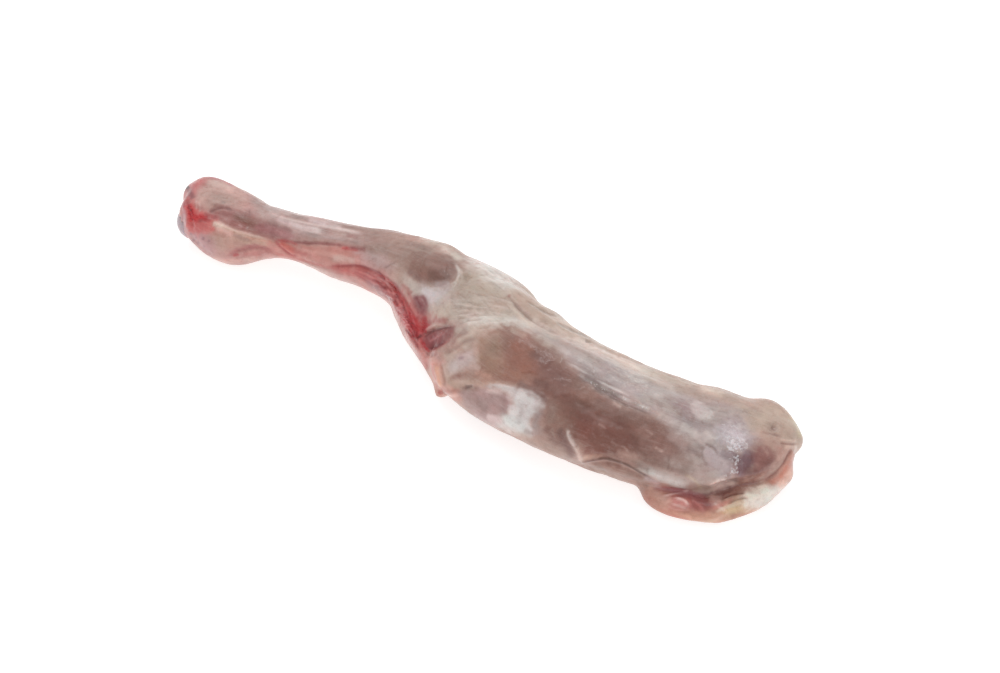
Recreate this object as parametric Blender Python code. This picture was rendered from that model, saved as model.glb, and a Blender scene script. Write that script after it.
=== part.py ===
"""A kid goat shoulder: the whole foreleg, knuckle end at -X and blade end at +X, lying on its inner side.

The meat is one solid. Its forms are lofted and joined, then skinned over as one surface, and the seams,
folds and hollows between the muscles are pressed into that skin. Where the knuckle was parted from the foot,
the smooth end of the leg bone shows as a second solid, seated in a socket. Metres, +Z up.
"""

import math

import bmesh
import bpy
import numpy as np
from mathutils import Matrix, Vector

MM = 0.001

# Driving sizes of the cut, in millimetres.
SHANK_THICKNESS = 25.0
KNUCKLE_WIDTH = 41.0
SHOULDER_WIDTH = 84.0
SHOULDER_HEIGHT = 49.0
BLADE_WIDTH = 66.0
BLADE_HEIGHT = 30.0
FLAP_THICKNESS = 15.0
BASE_HEIGHT = 2.4

# The end of the leg bone: its middle and half sizes, its turn, the depth and width of the groove of its
# joint, the gap that the meat keeps round it, and the sides of its mesh.
BONE_CENTRE = (-175.2, 2.0, 16.0)
BONE_HALF = (8.6, 10.8, 10.2)
BONE_TURN = math.radians(18)
BONE_GROOVE = 1.1
BONE_GROOVE_WIDTH = 0.28
BONE_GAP = 0.35
BONE_SIDES = 36
BONE_RINGS = 20

# The skin that is drawn over the joined forms.
SKIN_GRAIN = 1.2
SKIN_SMOOTHING = 8
RELIEF_SMOOTHING = 2
SMOOTHING_SHARE = 0.5
SKIN_TRIANGLES = 10400
RING_SIDES = 32
RINGS_PER_SPAN = 8
CAP_RINGS = 6
BELLY_STATIONS = 7
BELLY_TIP = 0.04

# The block that takes away what is below the flat base.
BASE_BLOCK = (600.0, 400.0, 40.0)

# Colour and roughness of the two materials.
MEAT_COLOUR = (0.42, 0.27, 0.22)
MEAT_ROUGHNESS = 0.38
CARTILAGE_COLOUR = (0.50, 0.43, 0.45)
CARTILAGE_ROUGHNESS = 0.30

# Where the photograph was taken from. The seams that it shows are placed by its pixels (1000 x 673).
VIEW_AZIMUTH = math.radians(30)
VIEW_ELEVATION = math.radians(40)
VIEW_DISTANCE = 1160.0
VIEW_TARGET = (14.5, -4.7, 20.0)
VIEW_FOCAL = 85 / 36 * 1000
VIEW_MIDDLE = (500.0, 336.5)

# How quickly a fold drops at its line, how squarely the skin must face the viewer to take a seam in full,
# and how a seam fades to its two ends.
FOLD_EDGE = 0.6
FULL_FACING = 0.3
END_FADE = 0.8
END_FADE_POWER = 4

# How uneven the meat is everywhere: crossed waves, each with its share, two directions and a shift.
UNEVEN_LENGTH = 7.3
UNEVEN_HEIGHT = 0.35
UNEVEN_WAVES = (
    (1.0, (1.0, 0.7, 0.0), (0.0, 1.2, 0.8), 0.8),
    (0.6, (1.9, -1.4, 1.7), (0.3, 1.7, 0.0), 1.7),
)

# Soft seams and rises: half width and height in millimetres, then the way they run in the photograph.
SEAMS = {
    "knuckle rim": (2.0, 0.9, (194, 200), (188, 214), (193, 232)),
    "knuckle groove": (2.2, -1.6, (204, 213), (225, 214), (245, 223), (285, 236), (345, 246)),
    "knuckle ridge": (2.4, 1.0, (214, 225), (240, 235), (268, 242)),
    "knuckle lower groove": (1.8, -1.0, (226, 246), (262, 256)),
    "shank crease": (1.6, -1.3, (333, 266), (360, 267), (385, 277), (398, 292)),
    "forearm seam": (2.6, -0.9, (300, 223), (350, 233), (400, 241), (432, 249), (455, 262)),
    "forearm belly": (7.0, 1.3, (410, 264), (432, 268), (454, 271)),
    "forearm lower seam": (3.0, -1.2, (392, 264), (420, 285), (455, 292)),
    "elbow hollow": (3.4, -2.2, (384, 278), (402, 302), (416, 326), (424, 341)),
    "elbow lip": (1.8, 1.2, (372, 275), (392, 295), (405, 317), (414, 342), (427, 366), (439, 388)),
    "elbow pocket": (4.2, -2.2, (427, 342), (435, 337), (447, 331)),
    "elbow pocket line": (1.3, -0.9, (423, 332), (437, 327), (451, 326)),
    "elbow cord": (2.5, 1.2, (449, 348), (462, 356), (474, 366)),
    "corner notch": (2.0, -2.2, (446, 378), (458, 387), (471, 388)),
    "dome crease": (2.8, -2.0, (480, 287), (495, 291), (507, 298)),
    "roll groove": (3.0, -1.9, (508, 297), (530, 318), (545, 328), (572, 338), (602, 351), (668, 381)),
    "roll line": (1.6, -0.8, (528, 302), (556, 317), (585, 332), (610, 346)),
    "roll notch": (1.8, -1.4, (584, 341), (593, 342)),
    "neck hollow": (5.0, -1.3, (468, 312), (490, 318), (515, 326)),
    "blade ridge": (7.0, 1.7, (470, 337), (500, 332), (525, 334), (560, 349), (600, 373), (700, 430)),
    "blade line": (2.4, -0.9, (575, 376), (610, 395), (650, 411)),
    "blade hollow": (5.5, -1.0, (655, 383), (700, 402), (748, 417)),
    "lower facet": (7.0, -1.8, (468, 402), (490, 407), (512, 413)),
    "end bruise": (6.0, -0.8, (745, 462), (775, 462)),
    "flap crease": (2.2, -2.6, (652, 489), (682, 490), (712, 494), (735, 485), (760, 482), (780, 469)),
    "tip crease": (2.0, -1.6, (778, 470), (791, 449)),
    "flap cavity": (3.0, -3.2, (716, 492), (730, 492), (744, 488)),
    "flap lump": (4.0, 1.5, (668, 504), (690, 505)),
    "flap fat": (3.6, 1.2, (752, 496), (768, 492)),
    "tip dimple": (2.8, -1.6, (773, 426), (775, 431)),
    "tip fold": (1.7, -1.3, (782, 440), (797, 441)),
    "tip edge": (3.0, 0.9, (762, 404), (784, 417), (797, 431)),
}

# Folds: the meat stands up on the left of the way they run and drops at the line. Reach and height first.
FOLDS = {
    "brown muscle edge": (6.0, 1.5, (522, 398), (500, 387), (478, 377), (458, 372)),
    "front fold": (6.5, 1.7, (700, 488), (665, 483), (640, 470), (618, 460), (590, 457)),
    "front tag": (3.5, 1.4, (594, 458), (580, 449), (570, 430), (560, 408)),
    "elbow sheet": (5.0, 1.3, (424, 346), (412, 322), (399, 299), (381, 281)),
}

# Seams of the sides that the photograph doesn't show, by their places in the cut.
HIDDEN_SEAMS = {
    "shank back": (2.6, -1.3, (-128, 22, 20), (-90, 28, 22), (-50, 31, 24), (-14, 29, 26)),
    "shank under": (3.0, -1.2, (-126, 8, 6), (-80, 10, 5), (-35, 2, 4)),
    "shoulder back": (3.4, -1.7, (14, 26, 20), (50, 16, 17), (92, 6, 16), (136, 12, 15)),
    "shoulder back lower": (3.0, -1.3, (30, 18, 9), (74, 5, 7), (120, 4, 7)),
    "knuckle back": (2.4, -1.4, (-180, 24, 20), (-160, 25, 18), (-138, 22, 19)),
}


def clear_scene():
    for old in list(bpy.data.objects):
        bpy.data.objects.remove(old, do_unlink=True)


def between(before, start, end, after, t):
    """One number on a smooth curve (Catmull-Rom) from start to end."""
    slope = end - before
    bend = 2 * before - 5 * start + 4 * end - after
    twist = 3 * start - before - 3 * end + after
    return start + 0.5 * (slope * t + bend * t**2 + twist * t**3)


def curve_through(rows, spans):
    """Rows of numbers on a smooth curve through the given rows, with this many steps between two rows."""
    padded = [rows[0], *rows, rows[-1]]
    found = []
    for i in range(len(rows) - 1):
        four = padded[i : i + 4]
        for step in range(spans):
            found.append([between(*values, step / spans) for values in zip(*four)])
    found.append(list(rows[-1]))
    return found


def ring(centre, across, up, half_width, half_height):
    """One elliptical section."""
    points = []
    for i in range(RING_SIDES):
        angle = 2 * math.pi * i / RING_SIDES
        points.append(centre + across * (half_width * math.cos(angle)) + up * (half_height * math.sin(angle)))
    return points


def add_loft(form, stations, cap=0.6):
    """Adds a closed tube with rounded ends through stations (x, y, z, half width, half height)."""
    rows = curve_through(stations, RINGS_PER_SPAN)
    centres = [Vector(row[:3]) for row in rows]
    rings = []
    for i, row in enumerate(rows):
        along = (centres[min(i + 1, len(rows) - 1)] - centres[max(i - 1, 0)]).normalized()
        across = Vector((0, 0, 1)).cross(along).normalized()
        rings.append((centres[i], along, across, along.cross(across), max(row[3], 0.5), max(row[4], 0.5)))

    def end_rings(end, outwards):
        centre, along, across, up, half_width, half_height = end
        reach = cap * min(half_width, half_height)
        made = []
        for k in range(1, CAP_RINGS):
            angle = math.pi / 2 * k / CAP_RINGS
            shrink = math.cos(angle)
            shift = along * (outwards * reach * math.sin(angle))
            made.append(ring(centre + shift, across, up, half_width * shrink, half_height * shrink))
        return made, centre + along * (outwards * reach)

    first_caps, first_tip = end_rings(rings[0], -1)
    last_caps, last_tip = end_rings(rings[-1], 1)
    sections = first_caps[::-1]
    sections += [ring(centre, across, up, wide, high) for centre, _, across, up, wide, high in rings]
    sections += last_caps
    loops = [[form.verts.new(p) for p in section] for section in sections]
    for one, two in zip(loops, loops[1:]):
        for i in range(RING_SIDES):
            j = (i + 1) % RING_SIDES
            form.faces.new((one[i], one[j], two[j], two[i]))
    first, last = form.verts.new(first_tip), form.verts.new(last_tip)
    for i in range(RING_SIDES):
        j = (i + 1) % RING_SIDES
        form.faces.new((loops[0][j], loops[0][i], first))
        form.faces.new((loops[-1][i], loops[-1][j], last))


def add_belly(form, start, end, half_width, half_height, fullness=0.55):
    """A muscle belly: a spindle from start to end, fullest half way."""
    stations = []
    for t in np.linspace(BELLY_TIP, 1 - BELLY_TIP, BELLY_STATIONS):
        swell = math.sin(math.pi * t) ** fullness
        point = Vector(start).lerp(Vector(end), t)
        stations.append((*point, half_width * swell, half_height * swell))
    add_loft(form, stations)


def leg_forms(form):
    """The knuckle, the shank and the forearm up to the elbow."""
    shank = SHANK_THICKNESS / 2
    knuckle = KNUCKLE_WIDTH / 2
    add_loft(
        form,
        [
            (-178, 6.5, 18.5, 14.5, 13),
            (-168, 7, 18, 18, 15.5),
            (-154, 5.5, 17.5, knuckle - 1, 17),
            (-141, 6, 18.5, 18, 15.5),
            (-129, 9, 20, 13.5, 13),
            (-114, 11, 21.5, shank, shank),
            (-92, 11.7, 21.7, 14.3, 14.2),
            (-68, 13, 23, 16, 16),
            (-45, 10, 24, 19, 18),
            (-25, 6, 25, 23, 20),
            (0, 2, 25, 24, 21),
        ],
        cap=0.35,
    )
    add_loft(
        form,
        [
            (-182.5, 12.5, 20, 8, 8),
            (-172.5, 15.2, 23.7, 9.5, 11),
            (-158, 14.5, 23.5, 10, 10),
            (-138, 12.5, 22, 9, 9),
            (-118, 11.5, 21.5, 7, 7.5),
        ],
    )
    add_belly(form, (-173, -4, 14.5), (-128, -0.5, 13), 11, 12.5)
    add_loft(
        form,
        [
            (-92, 17, 24.5, 7, 8),
            (-68, 16.5, 26.5, 12, 12),
            (-44, 15, 29, 13, 13.5),
            (-28, 14, 31.5, 12.5, 14),
            (-17, 13, 31.5, 9, 10),
        ],
    )
    add_loft(
        form,
        [
            (-42, 5, 22, 14, 16),
            (-24, -9, 21, 16, 16),
            (-8, -23, 19, 14, 14),
            (3.5, -36, 16, 9, 10),
            (7.5, -43, 15, 6, 7.5),
        ],
        cap=0.4,
    )
    add_loft(form, [(1, -33, 14, 7, 8), (3.5, -40, 11.5, 5, 6), (5, -45.5, 9.5, 3.2, 3.5)])


def shoulder_forms(form):
    """The thick of the shoulder, the blade, and the flap of the inner side that shows under the blade."""
    wide = SHOULDER_WIDTH / 2
    high = SHOULDER_HEIGHT / 2
    flap = FLAP_THICKNESS / 2
    add_loft(
        form,
        [
            (-10, -3, 24, 22, 20),
            (4, -8.5, 25.5, 28, 24),
            (14, -13, 25.5, 31, high),
            (24, -20, 25, wide - 6, high),
            (48, -27.5, 24.5, 35, 24),
            (80, -30, 23, 33.5, 21.5),
            (113, -27, 22.5, BLADE_WIDTH / 2 - 1, 18),
            (127, -25, 22, 31.2, 16.2),
            (140, -20, 22, 31, BLADE_HEIGHT / 2),
            (158, -13, 21, 25, 12.5),
            (169.5, -8.5, 20, 15, 9.5),
        ],
    )
    add_belly(form, (-26, 15, 27), (28, 14.5, 23.5), 13, 13.5)
    add_belly(form, (-6, 10, 28), (96, -7, 21), 7.5, 8.5)
    add_belly(form, (40, -50.5, 16), (132, -50.5, 13), 7.5, 9.5)
    add_loft(
        form,
        [
            (138, 1, 19.5, 6, 6.5),
            (148, 4.5, 20.5, 8.5, 9),
            (155, 5, 21, 9, 9.5),
            (162, 1.5, 19.5, 8.5, 8.5),
            (170.5, -4.5, 19.5, 7.5, 7.5),
        ],
    )
    add_loft(
        form,
        [
            (122, -43, 8, 10, flap - 2),
            (131, -45.5, 8, 18.5, flap - 0.5),
            (147, -38.5, 8, 21.5, flap),
            (160, -28, 9, 16.5, flap - 0.5),
            (169.5, -13, 13.5, 10.5, 7.5),
        ],
    )


def viewed(points):
    """Where points in millimetres show in the photograph, and the direction from each to the viewer."""
    a, e = VIEW_AZIMUTH, VIEW_ELEVATION
    back = np.array([math.sin(a) * math.cos(e), -math.cos(a) * math.cos(e), math.sin(e)])
    right = np.array([math.cos(a), math.sin(a), 0.0])
    up = np.cross(back, right)
    viewer = np.array(VIEW_TARGET) + VIEW_DISTANCE * back
    away = points - viewer
    depth = -(away @ back)
    scale = VIEW_FOCAL / depth
    pixels = np.stack([VIEW_MIDDLE[0] + scale * (away @ right), VIEW_MIDDLE[1] - scale * (away @ up)], axis=1)
    towards = -away / np.linalg.norm(away, axis=1, keepdims=True)
    return pixels, towards, 1 / scale


def along_path(points, path):
    """Each point's distance from a line of straight stretches, its side, and the line's strength there."""
    nearest = np.full(len(points), np.inf)
    side = np.ones(len(points))
    share = np.zeros(len(points))
    corners = np.array(path, float)
    lengths = np.linalg.norm(np.diff(corners, axis=0), axis=1)
    before = np.cumsum(lengths) - lengths
    for start, end, passed, length in zip(corners, corners[1:], before, lengths):
        run = end - start
        t = np.clip((points - start) @ run / (run @ run), 0, 1)
        off = points - start - t[:, None] * run
        distance = np.linalg.norm(off, axis=1)
        closer = distance < nearest
        nearest[closer] = distance[closer]
        share[closer] = ((passed + t * length) / lengths.sum())[closer]
        if len(run) == 2:
            side[closer] = np.sign(off[:, 0] * run[1] - off[:, 1] * run[0])[closer]
    return nearest, side, 1 - END_FADE * np.abs(2 * share - 1) ** END_FADE_POWER


def relief(points, normals):
    """How far each point of the skin moves along its normal, in millimetres."""
    pixels, towards, per_pixel = viewed(points)
    faces_viewer = np.clip(np.einsum("ij,ij->i", normals, towards) / FULL_FACING, 0, 1)
    move = np.zeros(len(points))
    for reach, height, *path in SEAMS.values():
        distance, _, strength = along_path(pixels, path)
        move += faces_viewer * strength * height * np.exp(-((distance * per_pixel / reach) ** 2))
    for reach, height, *path in FOLDS.values():
        distance, side, strength = along_path(pixels, path)
        distance = distance * per_pixel
        step = 1 / (1 + np.exp(-side * distance / FOLD_EDGE))
        move += faces_viewer * strength * height * step * np.exp(-((distance / reach) ** 2))
    for reach, height, *path in HIDDEN_SEAMS.values():
        distance, _, strength = along_path(points, path)
        move += strength * height * np.exp(-((distance / reach) ** 2))
    places = points / UNEVEN_LENGTH
    for share, one, two, shift in UNEVEN_WAVES:
        move += UNEVEN_HEIGHT * share * np.sin(places @ one) * np.sin(places @ two + shift)
    return move


def link(name, mesh):
    made = bpy.data.objects.new(name, mesh)
    bpy.context.scene.collection.objects.link(made)
    return made


def evaluated_mesh(obj, name):
    """A new mesh of the object with its modifiers carried out."""
    bpy.context.view_layer.update()
    graph = bpy.context.evaluated_depsgraph_get()
    mesh = bpy.data.meshes.new_from_object(obj.evaluated_get(graph))
    mesh.name = name
    return mesh


def skin_of(mesh, smoothing):
    """The mesh as one even skin, softened where its forms meet."""
    forms = link("forms", mesh)
    skin = forms.modifiers.new("skin", "REMESH")
    skin.mode = "VOXEL"
    skin.voxel_size = SKIN_GRAIN * MM
    soften = forms.modifiers.new("soften", "SMOOTH")
    soften.factor = SMOOTHING_SHARE
    soften.iterations = smoothing
    skinned = evaluated_mesh(forms, "skin")
    bpy.data.objects.remove(forms, do_unlink=True)
    return skinned


def press_relief(mesh):
    count = len(mesh.vertices)
    points = np.empty(count * 3)
    mesh.vertices.foreach_get("co", points)
    points = points.reshape(-1, 3) / MM
    normals = np.empty(count * 3)
    mesh.vertex_normals.foreach_get("vector", normals)
    normals = normals.reshape(-1, 3)
    points += normals * relief(points, normals)[:, None]
    mesh.vertices.foreach_set("co", (points * MM).ravel())
    mesh.update()


def bone_form(growth):
    """The smooth end of the leg bone, with the shallow groove of its joint, grown by this much."""
    form = bmesh.new()
    bmesh.ops.create_uvsphere(form, u_segments=BONE_SIDES, v_segments=BONE_RINGS, radius=1.0)
    for vert in form.verts:
        x, y, z = vert.co
        groove = BONE_GROOVE * math.exp(-((y / BONE_GROOVE_WIDTH) ** 2)) * max(0.0, -x)
        half = [size + growth for size in BONE_HALF]
        vert.co = Vector((x * half[0] + groove, y * half[1], z * half[2]))
    form.transform(Matrix.Rotation(BONE_TURN, 4, "Z"))
    form.transform(Matrix.Translation(BONE_CENTRE))
    form.transform(Matrix.Scale(MM, 4))
    return form


def mesh_from(form, name):
    mesh = bpy.data.meshes.new(name)
    form.to_mesh(mesh)
    form.free()
    return mesh


def cut(target, cutter, name):
    """Takes the cutter's shape out of the target."""
    cutter.hide_render = True
    cutter.display_type = "WIRE"
    modifier = target.modifiers.new(name, "BOOLEAN")
    modifier.operation = "DIFFERENCE"
    modifier.object = cutter


def make_meat():
    form = bmesh.new()
    leg_forms(form)
    shoulder_forms(form)
    form.transform(Matrix.Scale(MM, 4))
    skin = skin_of(mesh_from(form, "forms"), SKIN_SMOOTHING)
    press_relief(skin)
    skin = skin_of(skin, RELIEF_SMOOTHING)
    meat = link("shoulder", skin)
    thin = meat.modifiers.new("thin", "DECIMATE")
    thin.ratio = SKIN_TRIANGLES / (2 * len(skin.polygons))
    block = bmesh.new()
    bmesh.ops.create_cube(block, size=1.0)
    block.transform(Matrix.Diagonal((*BASE_BLOCK, 1)))
    block.transform(Matrix.Translation((0, 0, BASE_HEIGHT - BASE_BLOCK[2] / 2)))
    block.transform(Matrix.Scale(MM, 4))
    cut(meat, link("base_cutter", mesh_from(block, "base_cutter")), "base")
    cut(meat, link("socket_cutter", mesh_from(bone_form(BONE_GAP), "socket_cutter")), "socket")
    return meat


def settle(pieces):
    """Carries out the modifiers and puts the middle of the box on the origin and its bottom at height 0."""
    for piece in pieces:
        finished = evaluated_mesh(piece, piece.name)
        piece.modifiers.clear()
        piece.data = finished
    corners = np.array([tuple(v.co) for piece in pieces for v in piece.data.vertices])
    low, high = corners.min(axis=0), corners.max(axis=0)
    shift = Vector((-(low[0] + high[0]) / 2, -(low[1] + high[1]) / 2, -low[2]))
    for piece in pieces:
        piece.data.transform(Matrix.Translation(shift))


def give_material(piece, name, colour, roughness):
    material = bpy.data.materials.new(name)
    material.use_nodes = True
    shader = material.node_tree.nodes["Principled BSDF"]
    shader.inputs["Base Color"].default_value = (*colour, 1.0)
    shader.inputs["Roughness"].default_value = roughness
    shader.inputs["Metallic"].default_value = 0.0
    piece.data.materials.clear()
    piece.data.materials.append(material)


clear_scene()
meat = make_meat()
bone = link("leg_bone_end", mesh_from(bone_form(0.0), "leg_bone_end"))
settle([meat, bone])
for helper in ("base_cutter", "socket_cutter"):
    bpy.data.objects.remove(bpy.data.objects[helper], do_unlink=True)
give_material(meat, "meat", MEAT_COLOUR, MEAT_ROUGHNESS)
give_material(bone, "cartilage", CARTILAGE_COLOUR, CARTILAGE_ROUGHNESS)
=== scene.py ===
# %% [markdown]
# # Dressing a kid goat shoulder
#
# The solids give the cut its size and its forms: the knuckle, the shank, the elbow, the blade and the
# flap under it. This lesson turns them into raw meat. A finer skin is grown over the meat's solid, folds
# and seams are pressed into it, and colour is laid on it like paint: muscle, fat, fascia and blood, and in
# places painted highlights and shade.
#
# The first cell loads the solids and keeps their box, because the dressed cut has to stay that size.

# %% Load the solids
import itertools
import math

import bmesh
import bpy
import numpy as np
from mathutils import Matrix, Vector


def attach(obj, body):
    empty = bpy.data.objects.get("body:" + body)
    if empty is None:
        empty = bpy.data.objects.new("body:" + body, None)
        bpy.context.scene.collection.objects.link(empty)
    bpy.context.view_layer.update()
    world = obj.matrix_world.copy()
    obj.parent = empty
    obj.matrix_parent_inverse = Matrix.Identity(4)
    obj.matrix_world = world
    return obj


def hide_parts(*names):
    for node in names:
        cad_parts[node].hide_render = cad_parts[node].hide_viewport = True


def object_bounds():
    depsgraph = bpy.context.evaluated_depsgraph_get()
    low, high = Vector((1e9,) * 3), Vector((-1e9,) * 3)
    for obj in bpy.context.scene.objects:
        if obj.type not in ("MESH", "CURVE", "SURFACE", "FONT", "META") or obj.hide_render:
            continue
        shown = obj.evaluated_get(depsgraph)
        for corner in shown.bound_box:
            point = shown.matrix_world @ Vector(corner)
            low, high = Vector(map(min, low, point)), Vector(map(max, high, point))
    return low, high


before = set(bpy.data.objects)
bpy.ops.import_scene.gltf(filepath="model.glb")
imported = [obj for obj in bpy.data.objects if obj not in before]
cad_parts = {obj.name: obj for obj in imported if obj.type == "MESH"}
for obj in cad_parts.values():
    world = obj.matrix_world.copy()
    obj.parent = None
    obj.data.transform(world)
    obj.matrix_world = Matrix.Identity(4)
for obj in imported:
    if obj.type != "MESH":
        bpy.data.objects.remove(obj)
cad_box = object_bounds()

MM = 0.001
cut_size = cad_box[1] - cad_box[0]
print("the cut is", [round(side / MM) for side in cut_size], "mm")

# %% [markdown]
# ## The camera
#
# The photograph looks down on the cut at 40 degrees, from 30 degrees round towards the blade end, with a
# longish lens. The camera could be placed by eye. Here it is worked out from those two angles, because
# the same numbers then tell where any point of the meat shows in the picture, and the marks on the meat
# are placed by that.

# %% Camera
VIEW_AZIMUTH = math.radians(30)
VIEW_ELEVATION = math.radians(40)
VIEW_DISTANCE = 1.16
VIEW_TARGET = Vector((0.01926, 0.01272, 0.0176))
LENS = 85.0
SENSOR = 36.0
PICTURE = (1000, 673)

camera = bpy.data.objects.new("camera", bpy.data.cameras.new("camera"))
camera.data.lens = LENS
camera.data.sensor_width = SENSOR
bpy.context.scene.collection.objects.link(camera)
bpy.context.scene.camera = camera
backward = Vector(
    (
        math.sin(VIEW_AZIMUTH) * math.cos(VIEW_ELEVATION),
        -math.cos(VIEW_AZIMUTH) * math.cos(VIEW_ELEVATION),
        math.sin(VIEW_ELEVATION),
    )
)
camera.location = VIEW_TARGET + backward * VIEW_DISTANCE
camera.rotation_euler = backward.to_track_quat("Z", "Y").to_euler()


def in_picture(places):
    """Where places show in the picture, in its pixels, the way to the camera, and millimetres to a pixel."""
    back = np.array(backward)
    right = np.array([math.cos(VIEW_AZIMUTH), math.sin(VIEW_AZIMUTH), 0.0])
    up = np.cross(back, right)
    away = places - np.array(camera.location)
    scale = LENS / SENSOR * PICTURE[0] / -(away @ back)
    across = PICTURE[0] / 2 + scale * (away @ right)
    down = PICTURE[1] / 2 - scale * (away @ up)
    towards = -away / np.linalg.norm(away, axis=1, keepdims=True)
    return np.stack([across, down], axis=1), towards, 1 / scale / MM


print("camera at", [round(c, 3) for c in camera.location])

# %% [markdown]
# ## A finer skin
#
# The meat's solid has flat faces 3 mm wide. A subdivision rounds them off, and a voxel remesh gives the
# surface an even grain. Sculpting by hand would do the same, but a remesh is the same every time. The
# side that shows in the picture has the most marks, so its faces are cut once more, to 0.7 millimetres,
# and a little smoothing takes out the steps that the voxels leave.

# %% Skin
SKIN_GRAIN = 1.4 * MM
SKIN_SMOOTHING = 6
FINE_SIDE = 0.12
FULLY_SHOWN = 0.2


def evaluated(obj, name):
    """A new mesh of the object with its modifiers carried out."""
    bpy.context.view_layer.update()
    graph = bpy.context.evaluated_depsgraph_get()
    mesh = bpy.data.meshes.new_from_object(obj.evaluated_get(graph))
    mesh.name = name
    return mesh


def rounded_copy(node, name, levels):
    """The node's mesh welded and subdivided, as a new object."""
    form = bmesh.new()
    form.from_mesh(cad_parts[node].data)
    bmesh.ops.remove_doubles(form, verts=form.verts, dist=0.01 * MM)
    mesh = bpy.data.meshes.new(name)
    form.to_mesh(mesh)
    form.free()
    made = bpy.data.objects.new(name, mesh)
    bpy.context.scene.collection.objects.link(made)
    rounding = made.modifiers.new("rounding", "SUBSURF")
    rounding.levels = rounding.render_levels = levels
    return made


meat = rounded_copy("shoulder", "goat_shoulder", 1)
remesh = meat.modifiers.new("grain", "REMESH")
remesh.mode = "VOXEL"
remesh.voxel_size = SKIN_GRAIN
coarse = evaluated(meat, "goat_shoulder")
form = bmesh.new()
form.from_mesh(coarse)
sight = np.array(backward)
shown_faces = [face for face in form.faces if np.dot(face.normal, sight) > FINE_SIDE]
edges = list({edge for face in shown_faces for edge in face.edges})
bmesh.ops.subdivide_edges(form, edges=edges, cuts=1, use_grid_fill=True)
form.to_mesh(coarse)
form.free()
meat.modifiers.clear()
meat.data = coarse
soften = meat.modifiers.new("soften", "SMOOTH")
soften.factor = 0.5
soften.iterations = SKIN_SMOOTHING
skin = evaluated(meat, "goat_shoulder")
meat.modifiers.clear()
meat.data = skin


def coordinates(mesh):
    found = np.empty(len(mesh.vertices) * 3)
    mesh.vertices.foreach_get("co", found)
    return found.reshape(-1, 3)


def outward(mesh):
    found = np.empty(len(mesh.vertices) * 3)
    mesh.vertex_normals.foreach_get("vector", found)
    return found.reshape(-1, 3)


points = coordinates(skin)
normals = outward(skin)
pixels, towards, pixel_size = in_picture(points)
shown = np.clip(np.einsum("ij,ij->i", normals, towards) / FULLY_SHOWN, 0, 1)
triangles = sum(len(face.vertices) - 2 for face in skin.polygons)
print("the skin has", len(points), "points and", triangles, "triangles")

# %% [markdown]
# ## The way the meat grows
#
# Muscle fibres and fascia run along the leg, and the leg bends. A line through the middle of the cut
# gives every point of the skin a place along the leg and across it, so that fibres can follow the bend.

# %% Grain of the meat
MIDDLE_LINE = (
    (-176, 26, 17),
    (-110, 28, 19),
    (-50, 30, 21),
    (-5, 18, 22),
    (50, -6, 21),
    (112, -9, 19),
    (176, 4, 18),
)


def smooth_line(corners, steps, closed=False):
    """Places on a smooth curve (Catmull-Rom) through the corners."""
    corners = np.array(corners, float)
    if closed:
        padded = np.concatenate([corners[-1:], corners, corners[:2]])
    else:
        padded = np.concatenate([corners[:1], corners, corners[-1:]])
    share = np.arange(steps)[:, None] / steps
    found = []
    for a, b, c, d in zip(padded, padded[1:], padded[2:], padded[3:]):
        bend = (2 * a - 5 * b + 4 * c - d) * share**2
        twist = (3 * b - a - 3 * c + d) * share**3
        found.append(b + 0.5 * ((c - a) * share + bend + twist))
    found.append(padded[-2:-1])
    return np.concatenate(found)


middle = smooth_line(MIDDLE_LINE, 12) * MM
run = np.gradient(middle, axis=0)
run /= np.linalg.norm(run, axis=1, keepdims=True)
passed = np.concatenate([[0], np.cumsum(np.linalg.norm(np.diff(middle, axis=0), axis=1))])
nearest = np.argmin(((points[:, None, :] - middle[None, :, :]) ** 2).sum(axis=2), axis=1)
offset = points - middle[nearest]
along = passed[nearest] + np.einsum("ij,ij->i", offset, run[nearest])
sideways = np.cross([0, 0, 1], run[nearest])
sideways /= np.linalg.norm(sideways, axis=1, keepdims=True)
grain = np.stack([along, np.einsum("ij,ij->i", offset, sideways), offset[:, 2]], axis=1)
print("along the middle line the leg is", round(passed[-1] / MM), "mm long")

# %% [markdown]
# ## Unevenness
#
# No two places on raw meat are alike. Smooth random numbers on a lattice give that unevenness, with a
# fixed seed so that each run makes the same cut.

# %% Smooth random unevenness
LATTICE = 32


def cloud(places, size, seed, octaves=2):
    """Smooth noise around 0, mostly from -1 to 1, with its largest lumps about this size."""
    total = np.zeros(len(places))
    reach = 0.0
    for octave in range(octaves):
        values = np.random.default_rng(seed + octave).random((LATTICE, LATTICE, LATTICE)) * 2 - 1
        spot = places / (np.array(size) * 0.5**octave)
        cell = np.floor(spot).astype(int)
        part = spot - cell
        part = part * part * (3 - 2 * part)
        for corner in itertools.product((0, 1), repeat=3):
            share = np.prod(np.where(corner, part, 1 - part), axis=1)
            i, j, k = ((cell + corner) % LATTICE).T
            total += 0.5**octave * share * values[i, j, k]
        reach += 0.5**octave
    return 1.4 * total / reach


broad = cloud(points, 14 * MM, 5)
mottle = cloud(points, 6 * MM, 11)
fine = cloud(points, 2.2 * MM, 17)
strands = cloud(grain, (22 * MM, 1.7 * MM, 1.7 * MM), 23)
edging = 0.55 * fine + 0.45 * strands
print("unevenness from", round(mottle.min(), 2), "to", round(mottle.max(), 2))

# %% [markdown]
# ## Marks on the skin
#
# A seam or a smear of blood is a line with a width, and a muscle or a patch of fat is an area with an
# edge. Each one is given by the way it runs in the picture, with its width in millimetres, and it only
# touches skin that faces the camera. The sides that the picture doesn't show get marks too, placed in
# millimetres on the cut itself. The edges are made a little ragged, as they are on meat.

# %% Marks
CURVE_STEPS = 4
END_FADE = 0.85


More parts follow.
